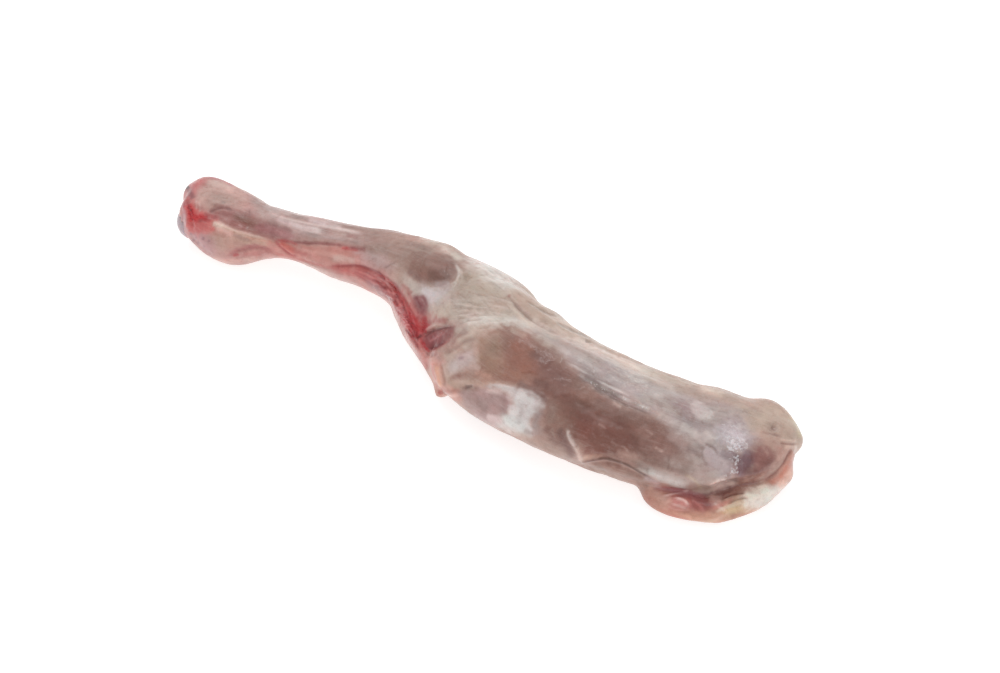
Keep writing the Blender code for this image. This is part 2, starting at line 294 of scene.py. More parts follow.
def measured(places, line):
    """Each place's distance from a line, its side of it, and its share along it."""
    near = np.full(len(places), np.inf)
    side = np.ones(len(places))
    share = np.zeros(len(places))
    lengths = np.linalg.norm(np.diff(line, axis=0), axis=1)
    before = np.cumsum(lengths) - lengths
    whole = max(lengths.sum(), 1e-9)
    for start, end, gone, length in zip(line, line[1:], before, lengths):
        stretch = end - start
        t = np.clip((places - start) @ stretch / max(stretch @ stretch, 1e-12), 0, 1)
        off = places - start - t[:, None] * stretch
        distance = np.linalg.norm(off, axis=1)
        closer = distance < near
        near[closer] = distance[closer]
        share[closer] = ((gone + t * length) / whole)[closer]
        if len(stretch) == 2:
            side[closer] = np.sign(off[:, 0] * stretch[1] - off[:, 1] * stretch[0])[closer]
    return near, side, share


def enclosed(places, outline):
    """Whether places lie inside a closed outline."""
    x, y = places.T
    within = np.zeros(len(places), bool)
    for (ax, ay), (bx, by) in zip(outline, np.roll(outline, -1, axis=0)):
        crosses = (ay > y) != (by > y)
        within ^= crosses & (x < ax + (y - ay) / (by - ay + 1e-9) * (bx - ax))
    return within


def laid_out(path, reach, closed=False):
    """The points near a mark, where they lie, the mark's own curve, and millimetres to its unit."""
    curve = smooth_line(path, CURVE_STEPS, closed)
    if len(path[0]) == 2:
        margin = 3 * reach / pixel_size.min()
        near = (pixels > curve.min(axis=0) - margin) & (pixels < curve.max(axis=0) + margin)
        chosen = np.flatnonzero(near.all(axis=1) & (shown > 0))
        return chosen, pixels[chosen], curve, pixel_size[chosen]
    places = points / MM
    near = (places > curve.min(axis=0) - 3 * reach) & (places < curve.max(axis=0) + 3 * reach)
    chosen = np.flatnonzero(near.all(axis=1))
    return chosen, places[chosen], curve, 1.0


def stroke(reach, path, ragged=0.0, sharpness=2.5):
    """The points that a line touches, how strongly from 0 to 1, and how far they lie to its left."""
    chosen, places, curve, unit = laid_out(path, reach)
    near, side, share = measured(places, curve)
    near = near * unit
    rough = np.maximum(near + ragged * edging[chosen], 0)
    touch = np.exp(-((rough / reach) ** sharpness))
    touch *= 1 - END_FADE * np.abs(2 * share - 1) ** 8
    if len(path[0]) == 2:
        touch *= shown[chosen]
    return chosen, touch, side * near


def area(edge, outline, ragged=0.0):
    """The points that a filled outline touches, and how strongly from 0 to 1."""
    chosen, places, curve, unit = laid_out(outline, edge + ragged, closed=True)
    near, _, _ = measured(places, curve)
    depth = np.where(enclosed(places, curve[:-1]), near, -near) * unit + ragged * edging[chosen]
    return chosen, shown[chosen] / (1 + np.exp(np.clip(-3 * depth / edge, -30, 30)))


lift = np.zeros(len(points))


def press(seams):
    """Raises the skin along each line by its height in millimetres, or lowers it where that is under 0."""
    for height, reach, *path in seams.values():
        chosen, touch, _ = stroke(reach, path, 0.15 * reach, 2.0)
        lift[chosen] += height * touch
    print("the relief runs from", round(lift.min(), 2), "to", round(lift.max(), 2), "mm so far")


LIP = 0.3


def lap(folds):
    """Raises the skin on the left of each line, dropping at the line like the lip of a fold."""
    for height, reach, *path in folds.values():
        chosen, touch, left = stroke(reach, path, 0.0, 2.0)
        lift[chosen] += height * touch / (1 + np.exp(np.clip(-left / LIP, -30, 30)))
    print("the relief runs from", round(lift.min(), 2), "to", round(lift.max(), 2), "mm so far")


# %% [markdown]
# ## Relief of the knuckle and the shank
#
# Where the foot was parted from the leg, the meat is drawn tight round the end of the bone, with tiny
# tendon ends standing up. Below it a long groove parts the tendons at the front from those at the back.

# %% Knuckle and shank relief
KNUCKLE_AND_SHANK_RELIEF = {
    "facet over the plate": (-0.6, 2.2, (200, 186), (214, 190), (228, 197), (240, 206)),
    "plate": (0.5, 2.4, (203, 197), (214, 201), (226, 204)),
    "groove under the plate": (-0.5, 0.9, (208, 213), (214, 210), (224, 208), (236, 211)),
    "groove over the muscle": (-0.5, 1.2, (236, 211), (250, 218), (262, 222), (285, 232)),
    "small pit": (-0.4, 0.6, (250, 210), (250, 215)),
    "shank groove": (-0.4, 0.9, (285, 236), (296, 242), (320, 244), (345, 246)),
    "cream tendon": (0.5, 1.1, (213, 223), (222, 227), (238, 233), (266, 240)),
    "under the tendon": (-0.4, 0.8, (218, 219), (232, 228), (250, 233), (272, 239)),
    "standing tendon": (0.5, 0.6, (196, 201), (197, 209)),
    "second standing tendon": (0.4, 0.5, (199, 202), (200, 212)),
    "cut edge": (-0.6, 0.9, (187, 203), (189, 212), (192, 222), (193, 230)),
    "rim": (0.6, 1.0, (184, 202), (185, 212), (187, 224), (190, 233)),
    "cut edge below": (-0.4, 0.8, (190, 236), (197, 242), (205, 251), (214, 256)),
    "lower groove": (-0.6, 1.1, (228, 256), (238, 251), (255, 247), (276, 251)),
    "slip of muscle": (0.6, 1.6, (279, 243), (287, 247), (295, 252)),
    "slip edge": (-0.5, 0.6, (275, 241), (282, 248), (290, 254), (296, 256)),
    "first shank streak": (0.2, 0.7, (268, 206), (300, 216), (340, 222)),
    "second shank streak": (-0.25, 0.7, (262, 206), (290, 217), (330, 225)),
    "third shank streak": (0.25, 0.7, (284, 221), (310, 227), (345, 231)),
    "fourth shank streak": (-0.25, 0.7, (286, 225), (312, 231), (350, 235)),
    "fifth shank streak": (0.2, 0.8, (292, 233), (320, 238), (352, 241)),
    "sixth shank streak": (-0.2, 0.7, (350, 228), (380, 234), (410, 241)),
    "shank crease": (-0.6, 0.7, (332, 266), (345, 266), (360, 266), (372, 271), (385, 279)),
    "second shank crease": (-0.3, 0.7, (300, 258), (318, 266), (338, 272)),
    "third shank crease": (-0.3, 0.6, (345, 258), (352, 262), (362, 262)),
    "thin crease": (-0.3, 0.5, (384, 268), (390, 265), (396, 262)),
}
press(KNUCKLE_AND_SHANK_RELIEF)

# %% [markdown]
# ## Relief of the forearm and the elbow
#
# The muscle belly of the forearm bulges under its fascia. At the elbow the fascia was cut and has rolled
# back into a lip, with a small pocket of muscle behind it and a corner of fat below.

# %% Forearm and elbow relief
ELBOW_RELIEF = {
    "seam over the belly": (-0.4, 1.1, (404, 243), (414, 245), (424, 249), (434, 252)),
    "belly": (0.7, 4.5, (422, 262), (436, 268), (448, 270)),
    "belly lower edge": (-0.5, 1.1, (414, 279), (424, 284), (438, 286), (450, 281), (460, 270)),
    "olive hollow": (-0.6, 1.4, (465, 273), (468, 278), (466, 283)),
    "fascia cord": (0.4, 0.6, (455, 264), (459, 271), (457, 280), (452, 288)),
    "second fascia cord": (0.35, 0.6, (461, 269), (462, 277), (460, 286)),
    "elbow crease": (-0.6, 0.6, (384, 280), (394, 289), (402, 302), (407, 316), (412, 330)),
    "inner crease": (-0.6, 0.6, (372, 273), (384, 280), (398, 292), (406, 304)),
    "inner roll": (0.5, 0.7, (400, 294), (407, 306), (412, 318), (418, 328)),
    "clot hollow": (-0.6, 1.2, (416, 297), (419, 304), (420, 311)),
    "second clot hollow": (-0.5, 0.9, (422, 296), (424, 301), (423, 308)),
    "blood hollow": (-0.8, 1.0, (423, 318), (424, 325), (420, 333)),
    "pocket rim": (-0.6, 0.7, (422, 335), (430, 331), (440, 328), (452, 326)),
    "pocket lip": (0.6, 0.8, (424, 331), (434, 326), (446, 323)),
    "pocket bed": (0.9, 2.4, (429, 341), (438, 336), (448, 332)),
    "fold below the pocket": (-0.5, 0.6, (420, 344), (424, 352), (431, 356), (438, 354)),
    "fold in the blood": (-0.6, 0.6, (413, 318), (417, 327), (415, 336), (419, 343)),
    "pocket lower edge": (-0.7, 0.9, (427, 349), (436, 346), (446, 340), (451, 332)),
    "first neck cord": (0.4, 1.1, (440, 351), (450, 346), (462, 338), (474, 334)),
    "between the cords": (-0.3, 1.0, (442, 355), (453, 350), (465, 342), (478, 338)),
    "second neck cord": (0.4, 1.0, (448, 358), (457, 353), (467, 346)),
    "third neck cord": (0.3, 0.9, (452, 340), (462, 334), (472, 330)),
    "corner strip": (0.6, 1.0, (433, 362), (437, 375), (440, 388)),
    "strip edge": (-0.5, 0.8, (440, 362), (443, 374), (445, 386)),
    "corner": (1.2, 2.0, (441, 391), (440, 396)),
    "under the film": (-0.4, 0.9, (450, 377), (460, 371), (472, 370), (480, 374)),
    "over the facet": (-0.6, 0.6, (463, 388), (468, 387), (473, 386)),
}
press(ELBOW_RELIEF)

# %% [markdown]
# The bloody strip down the elbow is full of short wrinkles. Drawing each by hand would take long and look
# no better, so seeded random numbers place them along the strip and turn them its way.

# %% Wrinkles in the blood
BLOOD_WRINKLES = 44
STRIP_START = (372, 276)
STRIP_RUN = (48, 66)
WRINKLE_STEPS = (0, 5, 11)
wrinkles_of_blood = {}
for row, (start, lean, height) in enumerate(zip(*np.random.default_rng(83).random((3, BLOOD_WRINKLES)))):
    x = STRIP_START[0] + STRIP_RUN[0] * start + 8 * lean - 4
    y = STRIP_START[1] + STRIP_RUN[1] * start**1.3 + 12 * (0.5 - lean)
    turn = 0.5 + 0.9 * start + 0.8 * (lean - 0.5)
    ends = [(x + step * math.cos(turn), y + step * math.sin(turn)) for step in WRINKLE_STEPS]
    wrinkles_of_blood[f"wrinkle {row}"] = (0.9 * height - 0.5, 0.45, *ends)
press(wrinkles_of_blood)
ELBOW_LIPS = {
    "lower lip of the elbow": (0.6, 1.6, (432, 361), (424, 353), (418, 343), (411, 328)),
    "bottom fold": (0.7, 1.5, (466, 393), (454, 391), (444, 390)),
}
lap(ELBOW_LIPS)

# %% [markdown]
# ## Relief of the shoulder
#
# Three muscles meet here: the round head of the upper arm under white fascia, the roll along the upper
# border, and the brown muscle of the outer side. The seams between them are narrow and deep, and the
# fascia over the neck is drawn into fine wrinkles.

# %% Shoulder relief
SHOULDER_RELIEF = {
    "dome crease": (-0.3, 0.7, (495, 282), (501, 286), (507, 291)),
    "roll seam": (-0.5, 0.6, (508, 295), (514, 303), (524, 314), (536, 323), (550, 330), (572, 338)),
    "roll seam ridge": (0.5, 0.8, (508, 302), (520, 317), (534, 328), (550, 335), (566, 340)),
    "inner line": (-0.3, 0.6, (526, 300), (541, 310), (557, 317)),
    "outer line": (-0.3, 0.6, (556, 322), (574, 331), (588, 337)),
    "notch": (-0.6, 0.6, (585, 341), (591, 342)),
    "border seam": (-0.3, 0.7, (592, 344), (612, 353), (634, 361), (664, 374)),
    "fascia ridge": (0.5, 1.6, (462, 327), (480, 321), (504, 321), (528, 326)),
    "under the ridge": (-0.3, 1.4, (478, 332), (500, 329), (524, 333)),
    "front of the muscle": (-0.3, 1.4, (480, 336), (477, 350), (479, 366)),
    "ridge line": (-0.5, 0.7, (578, 375), (600, 389), (624, 402), (654, 413)),
    "film streak": (0.4, 0.7, (568, 362), (590, 377), (620, 394), (656, 411)),
    "second film streak": (0.3, 0.8, (560, 349), (590, 364), (622, 380), (668, 398)),
    "third film streak": (-0.25, 0.8, (580, 352), (612, 368), (650, 382)),
    "muscle seam": (-0.3, 1.6, (572, 398), (600, 416), (640, 432)),
    "first muscle lump": (0.5, 3.0, (590, 428), (608, 436), (622, 444)),
    "second muscle lump": (0.4, 2.6, (640, 428), (652, 438), (660, 452)),
    "between the lumps": (-0.3, 1.0, (626, 430), (636, 444), (640, 458)),
    "muscle by the patch": (0.4, 3.5, (556, 392), (562, 410), (560, 424)),
}
press(SHOULDER_RELIEF)
SHOULDER_LIPS = {
    "edge of the brown muscle": (1.0, 3.0, (534, 396), (518, 389), (500, 385), (480, 384)),
    "edge of the film": (0.35, 3.0, (656, 414), (626, 403), (600, 391), (574, 373)),
}
lap(SHOULDER_LIPS)

# %% [markdown]
# The fine wrinkles of the neck fan out from the elbow, so their slope depends on where across the neck
# they lie. Their places, lengths and heights are seeded random numbers again.

# %% Wrinkles of the neck
NECK_WRINKLES = 34
NECK_START = (446, 284)
NECK_SPAN = (46, 38)
wrinkles = {}
for row, (start, across, lean, height) in enumerate(np.random.default_rng(31).random((NECK_WRINKLES, 4))):
    x = NECK_START[0] + NECK_SPAN[0] * start
    y = NECK_START[1] + NECK_SPAN[1] * across + 11 * start
    length, slope = 9 + 16 * lean, 0.30 - 0.45 * across
    path = [(x + step * length, y + step * slope * length - 2 * step * (1 - step)) for step in (0, 0.5, 1)]
    wrinkles[f"wrinkle {row}"] = (0.35 if height > 0.45 else -0.35, 0.3 + 0.25 * height, *path)
press(wrinkles)

# %% [markdown]
# ## Relief of the front edge, the flap and the tip
#
# Along the front a thin membrane was torn, and a tag of it stands on the meat. Under the blade end the
# flap of the inner side lies open, with a dark hollow behind it. The tip is dimpled gristle.

# %% Front edge, flap and tip relief
BLADE_RELIEF = {
    "tag": (0.9, 0.7, (568, 431), (572, 440), (577, 448), (581, 460)),
    "small tag": (0.4, 0.5, (551, 428), (556, 438)),
    "under the lip": (-0.5, 0.9, (580, 465), (600, 462), (622, 466), (642, 477)),
    "fold of the white patch": (0.4, 1.0, (514, 396), (509, 408), (500, 419)),
    "top of the white patch": (0.4, 0.8, (492, 386), (506, 387), (522, 390)),
    "strip": (0.5, 1.6, (640, 466), (662, 476), (688, 485)),
    "strip edge": (-0.4, 0.8, (638, 462), (660, 471), (690, 481)),
    "under the blade": (-0.5, 0.7, (654, 489), (682, 491), (704, 497), (720, 491), (742, 485)),
    "under the tip": (-0.7, 0.8, (742, 485), (762, 482), (778, 472), (786, 460), (792, 447)),
    "bed of the hollow": (1.0, 3.0, (722, 499), (736, 496), (750, 491)),
    "first fold of the hollow": (-0.4, 0.5, (722, 500), (734, 496), (746, 494)),
    "second fold of the hollow": (-0.4, 0.5, (728, 504), (738, 500), (750, 497)),
    "flap lump": (0.9, 1.4, (672, 499), (682, 501), (688, 506)),
    "ridge of the lump": (0.5, 0.5, (676, 498), (685, 501), (689, 507), (684, 510)),
    "lump edge": (-0.5, 0.8, (666, 506), (676, 511), (690, 512)),
    "vein ridge": (0.5, 0.5, (663, 496), (676, 494), (689, 490)),
    "second lump": (0.7, 1.3, (713, 504), (719, 508), (726, 511)),
    "flap vein": (-0.4, 0.7, (690, 497), (694, 505), (700, 512)),
    "thin fat": (0.6, 1.6, (752, 500), (764, 494), (774, 487)),
    "fat wisp": (0.5, 0.8, (730, 506), (740, 502), (750, 500)),
    "second fat wisp": (0.4, 0.7, (724, 511), (736, 508), (746, 505)),
    "tip crater": (-0.7, 1.1, (773, 427), (776, 429)),
    "crater rim": (0.5, 0.8, (768, 424), (774, 422), (780, 426), (779, 433)),
    "pith": (0.7, 0.5, (774, 428.5), (775, 429)),
    "crater line": (-0.4, 0.6, (764, 432), (772, 434), (780, 437)),
    "tip fold": (-0.5, 0.6, (780, 443), (788, 444), (796, 444)),
    "tip fold lip": (0.5, 0.6, (780, 440), (788, 441), (796, 441)),
    "pale oval": (0.5, 2.4, (697, 408), (704, 412), (709, 416)),
    "oval edge": (-0.5, 0.8, (692, 417), (702, 422), (714, 422)),
    "first crack of the fascia": (-0.5, 0.6, (700, 438), (706, 444), (714, 448), (718, 456)),
    "second crack of the fascia": (-0.4, 0.6, (704, 446), (702, 456), (708, 466)),
    "plate of fascia": (0.4, 2.6, (712, 452), (718, 462), (716, 474)),
    "second plate of fascia": (0.4, 3.0, (680, 428), (690, 434), (698, 442)),
    "edge of the bruise": (-0.4, 0.8, (738, 458), (740, 468), (736, 478)),
}
press(BLADE_RELIEF)
FRONT_LIPS = {
    "front lip": (1.1, 2.0, (700, 488), (682, 485), (664, 480), (642, 468), (620, 459), (602, 456)),
    "front lip end": (1.2, 2.0, (602, 456), (590, 458), (581, 461)),
    "tag fold": (0.7, 1.6, (583, 461), (576, 449), (569, 432)),
}
lap(FRONT_LIPS)
CRACKS_START = (712, 430)
CRACK_LEANS = (3, -2, 2, -3, 1, -1, 2)
cracks = {}
for row, lean in enumerate(CRACK_LEANS):
    x, y = CRACKS_START[0] + 6 * row, CRACKS_START[1] + 3 * row
    cracks[f"crack {row}"] = (-0.25, 0.5, (x, y), (x + 4, y + 8 + lean), (x + 1, y + 17))
    cracks[f"flake {row}"] = (0.25, 0.5, (x - 4, y + 10), (x + 4, y + 6 + lean), (x + 9, y + 11))
press(cracks)

# %% [markdown]
# ## Seams of the hidden sides, and the meat's own texture
#
# The rear border and the underside are finished like what shows. Last come strands along the grain and
# soft lumps everywhere, low enough not to change the outline. Points on the flat base stay where they
# are, because the cut rests on them, and nothing may grow out of the box of the solids.

# %% Relief of the hidden sides, then move the skin
HIDDEN_RELIEF = {
    "shank back": (-0.7, 1.3, (-124, 40, 18), (-86, 45, 19), (-46, 48, 21), (-10, 46, 23)),
    "shank under": (-0.6, 1.1, (-120, 25, 4), (-76, 27, 3), (-31, 20, 2)),
    "shoulder back": (-0.9, 1.5, (18, 43, 17), (54, 33, 14), (96, 23, 13), (140, 29, 12)),
    "shoulder back lower": (-0.6, 1.1, (34, 35, 6), (78, 22, 4), (124, 21, 4)),
    "rear ridge": (0.5, 1.4, (-6, 47, 28), (30, 40, 24), (70, 25, 20)),
}
press(HIDDEN_RELIEF)
MOTTLE_HEIGHT, FINE_HEIGHT, STRAND_HEIGHT = 0.16, 0.09, 0.05
BASE_FADE = 1.5 * MM
lift += MOTTLE_HEIGHT * mottle + FINE_HEIGHT * fine + STRAND_HEIGHT * strands
room = np.full(len(points), np.inf)
for axis in range(3):
    for wall, way in ((cad_box[0][axis], 1), (cad_box[1][axis], -1)):
        room = np.minimum(room, way * (points[:, axis] - wall) / MM)
lift = np.minimum(lift * np.clip(points[:, 2] / BASE_FADE, 0, 1), np.clip(room, 0, None))
places = points + normals * (lift * MM)[:, None]
skin.vertices.foreach_set("co", places.ravel())
skin.update()
skin.shade_smooth()
print("the skin has moved by", round(lift.min(), 2), "to", round(lift.max(), 2), "mm")

# %% [markdown]
# ## Colours of raw kid
#
# Kid is pale: most of what shows is thin fascia over rosy brown muscle, so the palette is mostly greyed
# pinks and tans, with clear red only where blood lies. They are named by what they are on the meat.

# %% Palette
def tint(red, green, blue):
    """A colour picked on a screen, from 0 to 255, as the light that a surface sends back."""
    shares = np.array([red, green, blue]) / 255
    return np.where(shares <= 0.04045, shares / 12.92, ((shares + 0.055) / 1.055) ** 2.4)


ROSY_TAN = (182, 146, 137)
PALE_TAN = (194, 170, 157)
CREAM = (216, 194, 176)
WHITE_FASCIA = (212, 202, 197)
LILAC_FASCIA = (192, 176, 178)
BROWN_MUSCLE = (148, 102, 88)
ROSE = (190, 118, 114)
PINK_FLESH = (204, 148, 138)
PURPLE_FLESH = (148, 98, 100)
print("the palest is fascia, at", [round(float(c), 2) for c in tint(*WHITE_FASCIA)])

# %% [markdown]
# ## Laying the colours
#
# Broad areas come first, then lines over them, each pulling the colour under it part of the way. Beside
# its colour the skin keeps four more things that the material needs: how much whitish film lies on it,
# how wet it is, where blood has soaked in, and where the film has dried to frosty flakes.

# %% Painting
coats = {
    "film": np.full(len(points), 0.25),
    "wet": np.full(len(points), 0.35),
    "blood": np.zeros(len(points)),
    "frost": np.zeros(len(points)),
}


def colour_areas(areas):
    """Pulls the colour inside each outline towards the area's own."""
    for colour, strength, edge, *outline in areas.values():
        chosen, touch = area(edge, outline, 0.7 * edge)
        share = strength * touch[:, None]
        tone[chosen] = tone[chosen] * (1 - share) + tint(*colour) * share
    print("laid", len(areas), "areas")


def colour_lines(lines):
    """Pulls the colour along each line towards the line's own."""
    for colour, strength, reach, *path in lines.values():
        chosen, touch, _ = stroke(reach, path, 0.45 * reach)
        share = strength * touch[:, None]
        tone[chosen] = tone[chosen] * (1 - share) + tint(*colour) * share
    print("laid", len(lines), "lines")


def coat(name, lines):
    """Sets how much of one coat lies along each line."""
    for amount, reach, *path in lines:
        chosen, touch, _ = stroke(reach, path, 0.3 * reach)
        coats[name][chosen] = coats[name][chosen] * (1 - touch) + amount * touch


# %% [markdown]
# ### The sides that don't show
#
# These follow the same plan as the shown side: brown muscle under fascia, pale fat along the border, rosy
# tendons on the shank.

# %% Colours of the hidden sides
LOW_SIDE = 20 * MM
SHOULDER_START = 170 * MM
spread = cloud(grain, (60 * MM, 14 * MM, 14 * MM), 41)
share = np.clip(0.5 + 0.9 * spread, 0, 1)[:, None]
tone = tint(*PALE_TAN) * (1 - share) + tint(*ROSY_TAN) * share
low_side = np.clip((LOW_SIDE - points[:, 2]) / (10 * MM), 0, 1)
low_side = low_side * np.clip((along - SHOULDER_START) / (30 * MM), 0, 1)
streaks = np.clip(0.6 + 0.8 * cloud(grain, (45 * MM, 9 * MM, 9 * MM), 43), 0, 1)
share = (0.8 * low_side * streaks)[:, None]
tone = tone * (1 - share) + tint(*BROWN_MUSCLE) * share
HIDDEN_LINES = {
    "fat of the upper border": (CREAM, 0.8, 9, (22, 42, 24), (60, 30, 19), (110, 22, 16), (160, 26, 18)),
    "fascia of the arm's head": (WHITE_FASCIA, 0.7, 8, (-20, 46, 30), (6, 46, 26)),
    "inner shank": (PINK_FLESH, 0.6, 9, (-130, 30, 6), (-80, 32, 8), (-30, 30, 8)),
    "shank tendons": (LILAC_FASCIA, 0.7, 9, (-110, 40, 24), (-50, 46, 26)),
    "dark shank muscle": (PURPLE_FLESH, 0.5, 4, (-124, 40, 14), (-86, 46, 14), (-40, 48, 14)),
    "inner blade muscle": (BROWN_MUSCLE, 0.6, 10, (40, 30, 8), (90, 18, 6), (140, 24, 7)),
    "back of the knuckle": (ROSE, 0.5, 6, (-160, 42, 18), (-140, 40, 16)),
    "gristle of the tip": (CREAM, 0.6, 8, (176, 18, 18), (172, 6, 26)),
}
colour_lines(HIDDEN_LINES)
coat("blood", [(0.7, 3.0, (-178, 34, 8), (-174, 41, 16), (-177, 38, 24))])
coat("film", [
    (0.7, 9, (22, 42, 24), (60, 30, 19), (110, 22, 16)),
    (0.6, 9, (-110, 40, 24), (-50, 46, 26)),
])

# %% [markdown]
# ### The knuckle
#
# Greyed pink skin of tendon over the bone, a red smear where the vessels were cut, and a cream tendon
# running off towards the shank.

# %% Colours of the knuckle
KNUCKLE_AREAS = {
    "knuckle": ((190, 150, 144), 0.95, 5, (166, 164), (240, 168), (268, 200), (268, 268), (170, 262)),
    "plate": ((200, 168, 159), 0.85, 3, (196, 186), (222, 180), (250, 196), (238, 208), (204, 208)),
    "shaded plate": ((174, 144, 136), 0.6, 3, (204, 194), (222, 190), (242, 202), (228, 207), (208, 206)),
    "muscle in the groove": ((152, 104, 100), 0.85, 2, (210, 212), (222, 209), (236, 210), (262, 222),
        (288, 236), (262, 236), (232, 226)),
    "brown of the groove": ((136, 98, 87), 0.8, 2, (234, 216), (250, 217), (264, 227), (248, 230)),
    "tan underside": ((184, 148, 136), 0.85, 3, (210, 230), (240, 236), (270, 244), (262, 247), (226, 250),
        (206, 242)),
    "speckled rim": ((184, 146, 148), 0.8, 3, (184, 230), (202, 230), (212, 240), (214, 256), (204, 254)),
    "rosy top": ((190, 116, 116), 0.8, 2, (182, 196), (188, 184), (204, 176), (206, 182), (198, 190),
        (192, 200)),
    "red wash": ((200, 104, 102), 0.85, 2.5, (184, 200), (194, 204), (204, 212), (216, 218), (214, 230),
        (200, 234), (186, 230)),
}
colour_areas(KNUCKLE_AREAS)
KNUCKLE_LINES = {
    "magenta edge": ((180, 96, 106), 0.8, 1.0, (208, 177), (222, 179), (234, 187)),
    "top of the plate": ((212, 186, 178), 0.6, 2.0, (206, 184), (222, 184), (236, 192)),
    "cream tendon": ((202, 176, 162), 0.85, 1.5, (212, 223), (220, 226), (236, 232), (252, 237),
        (268, 241)),
    "cream tendon end": ((216, 196, 184), 0.8, 1.5, (213, 223), (224, 227)),
    "orange fringe": ((206, 146, 128), 0.6, 0.8, (244, 237), (258, 240), (274, 243)),
    "pale tendon below": ((194, 164, 148), 0.7, 2.0, (228, 235), (250, 241), (278, 247)),
    "mauve rim": ((172, 122, 128), 0.8, 1.2, (183, 200), (184, 212), (182, 222), (186, 232)),
    "pale line of the rim": ((206, 176, 178), 0.7, 0.6, (185, 208), (186, 218), (186, 226)),
    "red core": ((178, 28, 36), 0.9, 2.1, (187, 204), (191, 212), (193, 221)),
    "second red core": ((188, 44, 50), 0.85, 1.7, (192, 220), (200, 217), (208, 218)),
    "dark line": ((128, 86, 84), 0.6, 0.8, (209, 213), (214, 209.5), (224, 208), (232, 209)),
    "grey mark": ((128, 110, 104), 0.5, 0.8, (221, 202), (226, 203)),
    "dark pit": ((112, 84, 80), 0.5, 0.6, (250, 209), (250, 216)),
    "white tendon": ((218, 194, 186), 0.8, 0.6, (196, 201), (197, 209)),
    "second white tendon": ((214, 186, 180), 0.7, 0.5, (199, 202), (200, 212)),
    "dried spot": ((52, 36, 34), 0.95, 1.1, (186, 189), (189, 186)),
    "dark pink groove": ((166, 100, 100), 0.7, 1.4, (228, 256), (238, 251), (255, 247), (276, 251)),
    "red spot": ((176, 62, 66), 0.7, 0.8, (233, 256), (239, 254.5)),
    "rose under the groove": ((182, 118, 114), 0.7, 1.8, (240, 256), (258, 253), (276, 256)),
    "pale lower rim": ((212, 176, 168), 0.75, 1.4, (208, 257), (222, 261), (238, 261), (256, 258)),
    "grey below the tendon": ((150, 116, 110), 0.5, 1.0, (222, 230), (236, 236), (252, 241)),
    "silvery top": ((180, 166, 164), 0.7, 1.6, (254, 201), (268, 208), (286, 214)),
}
colour_lines(KNUCKLE_LINES)
SPECKS = ((190, 233), (195, 237), (202, 238), (208, 240), (203, 246), (197, 242), (192, 240))
specks = {}
for index, (x, y) in enumerate(SPECKS):
    specks[f"speck {index}"] = ((140, 96, 112), 0.5, 0.7, (x, y), (x + 2, y + 1.5))
colour_lines(specks)
coat("blood", [
    (0.85, 2.2, (187, 204), (191, 212), (193, 222)),
    (0.75, 2.0, (192, 220), (200, 217), (208, 218)),
    (0.3, 3.0, (199, 225), (208, 221)),
])
coat("film", [(0.1, 6, (188, 200), (196, 226)), (0.6, 3, (254, 202), (286, 214))])
coat("wet", [(0.9, 6, (188, 200), (196, 225), (240, 235)), (0.7, 6, (200, 186), (236, 194))])

# %% [markdown]
# ### The shank
#
# Whitish lilac tendons run along the top, a dark pink line lies under them, and the flesh below is rosy,
# with a clotted strip towards the elbow.

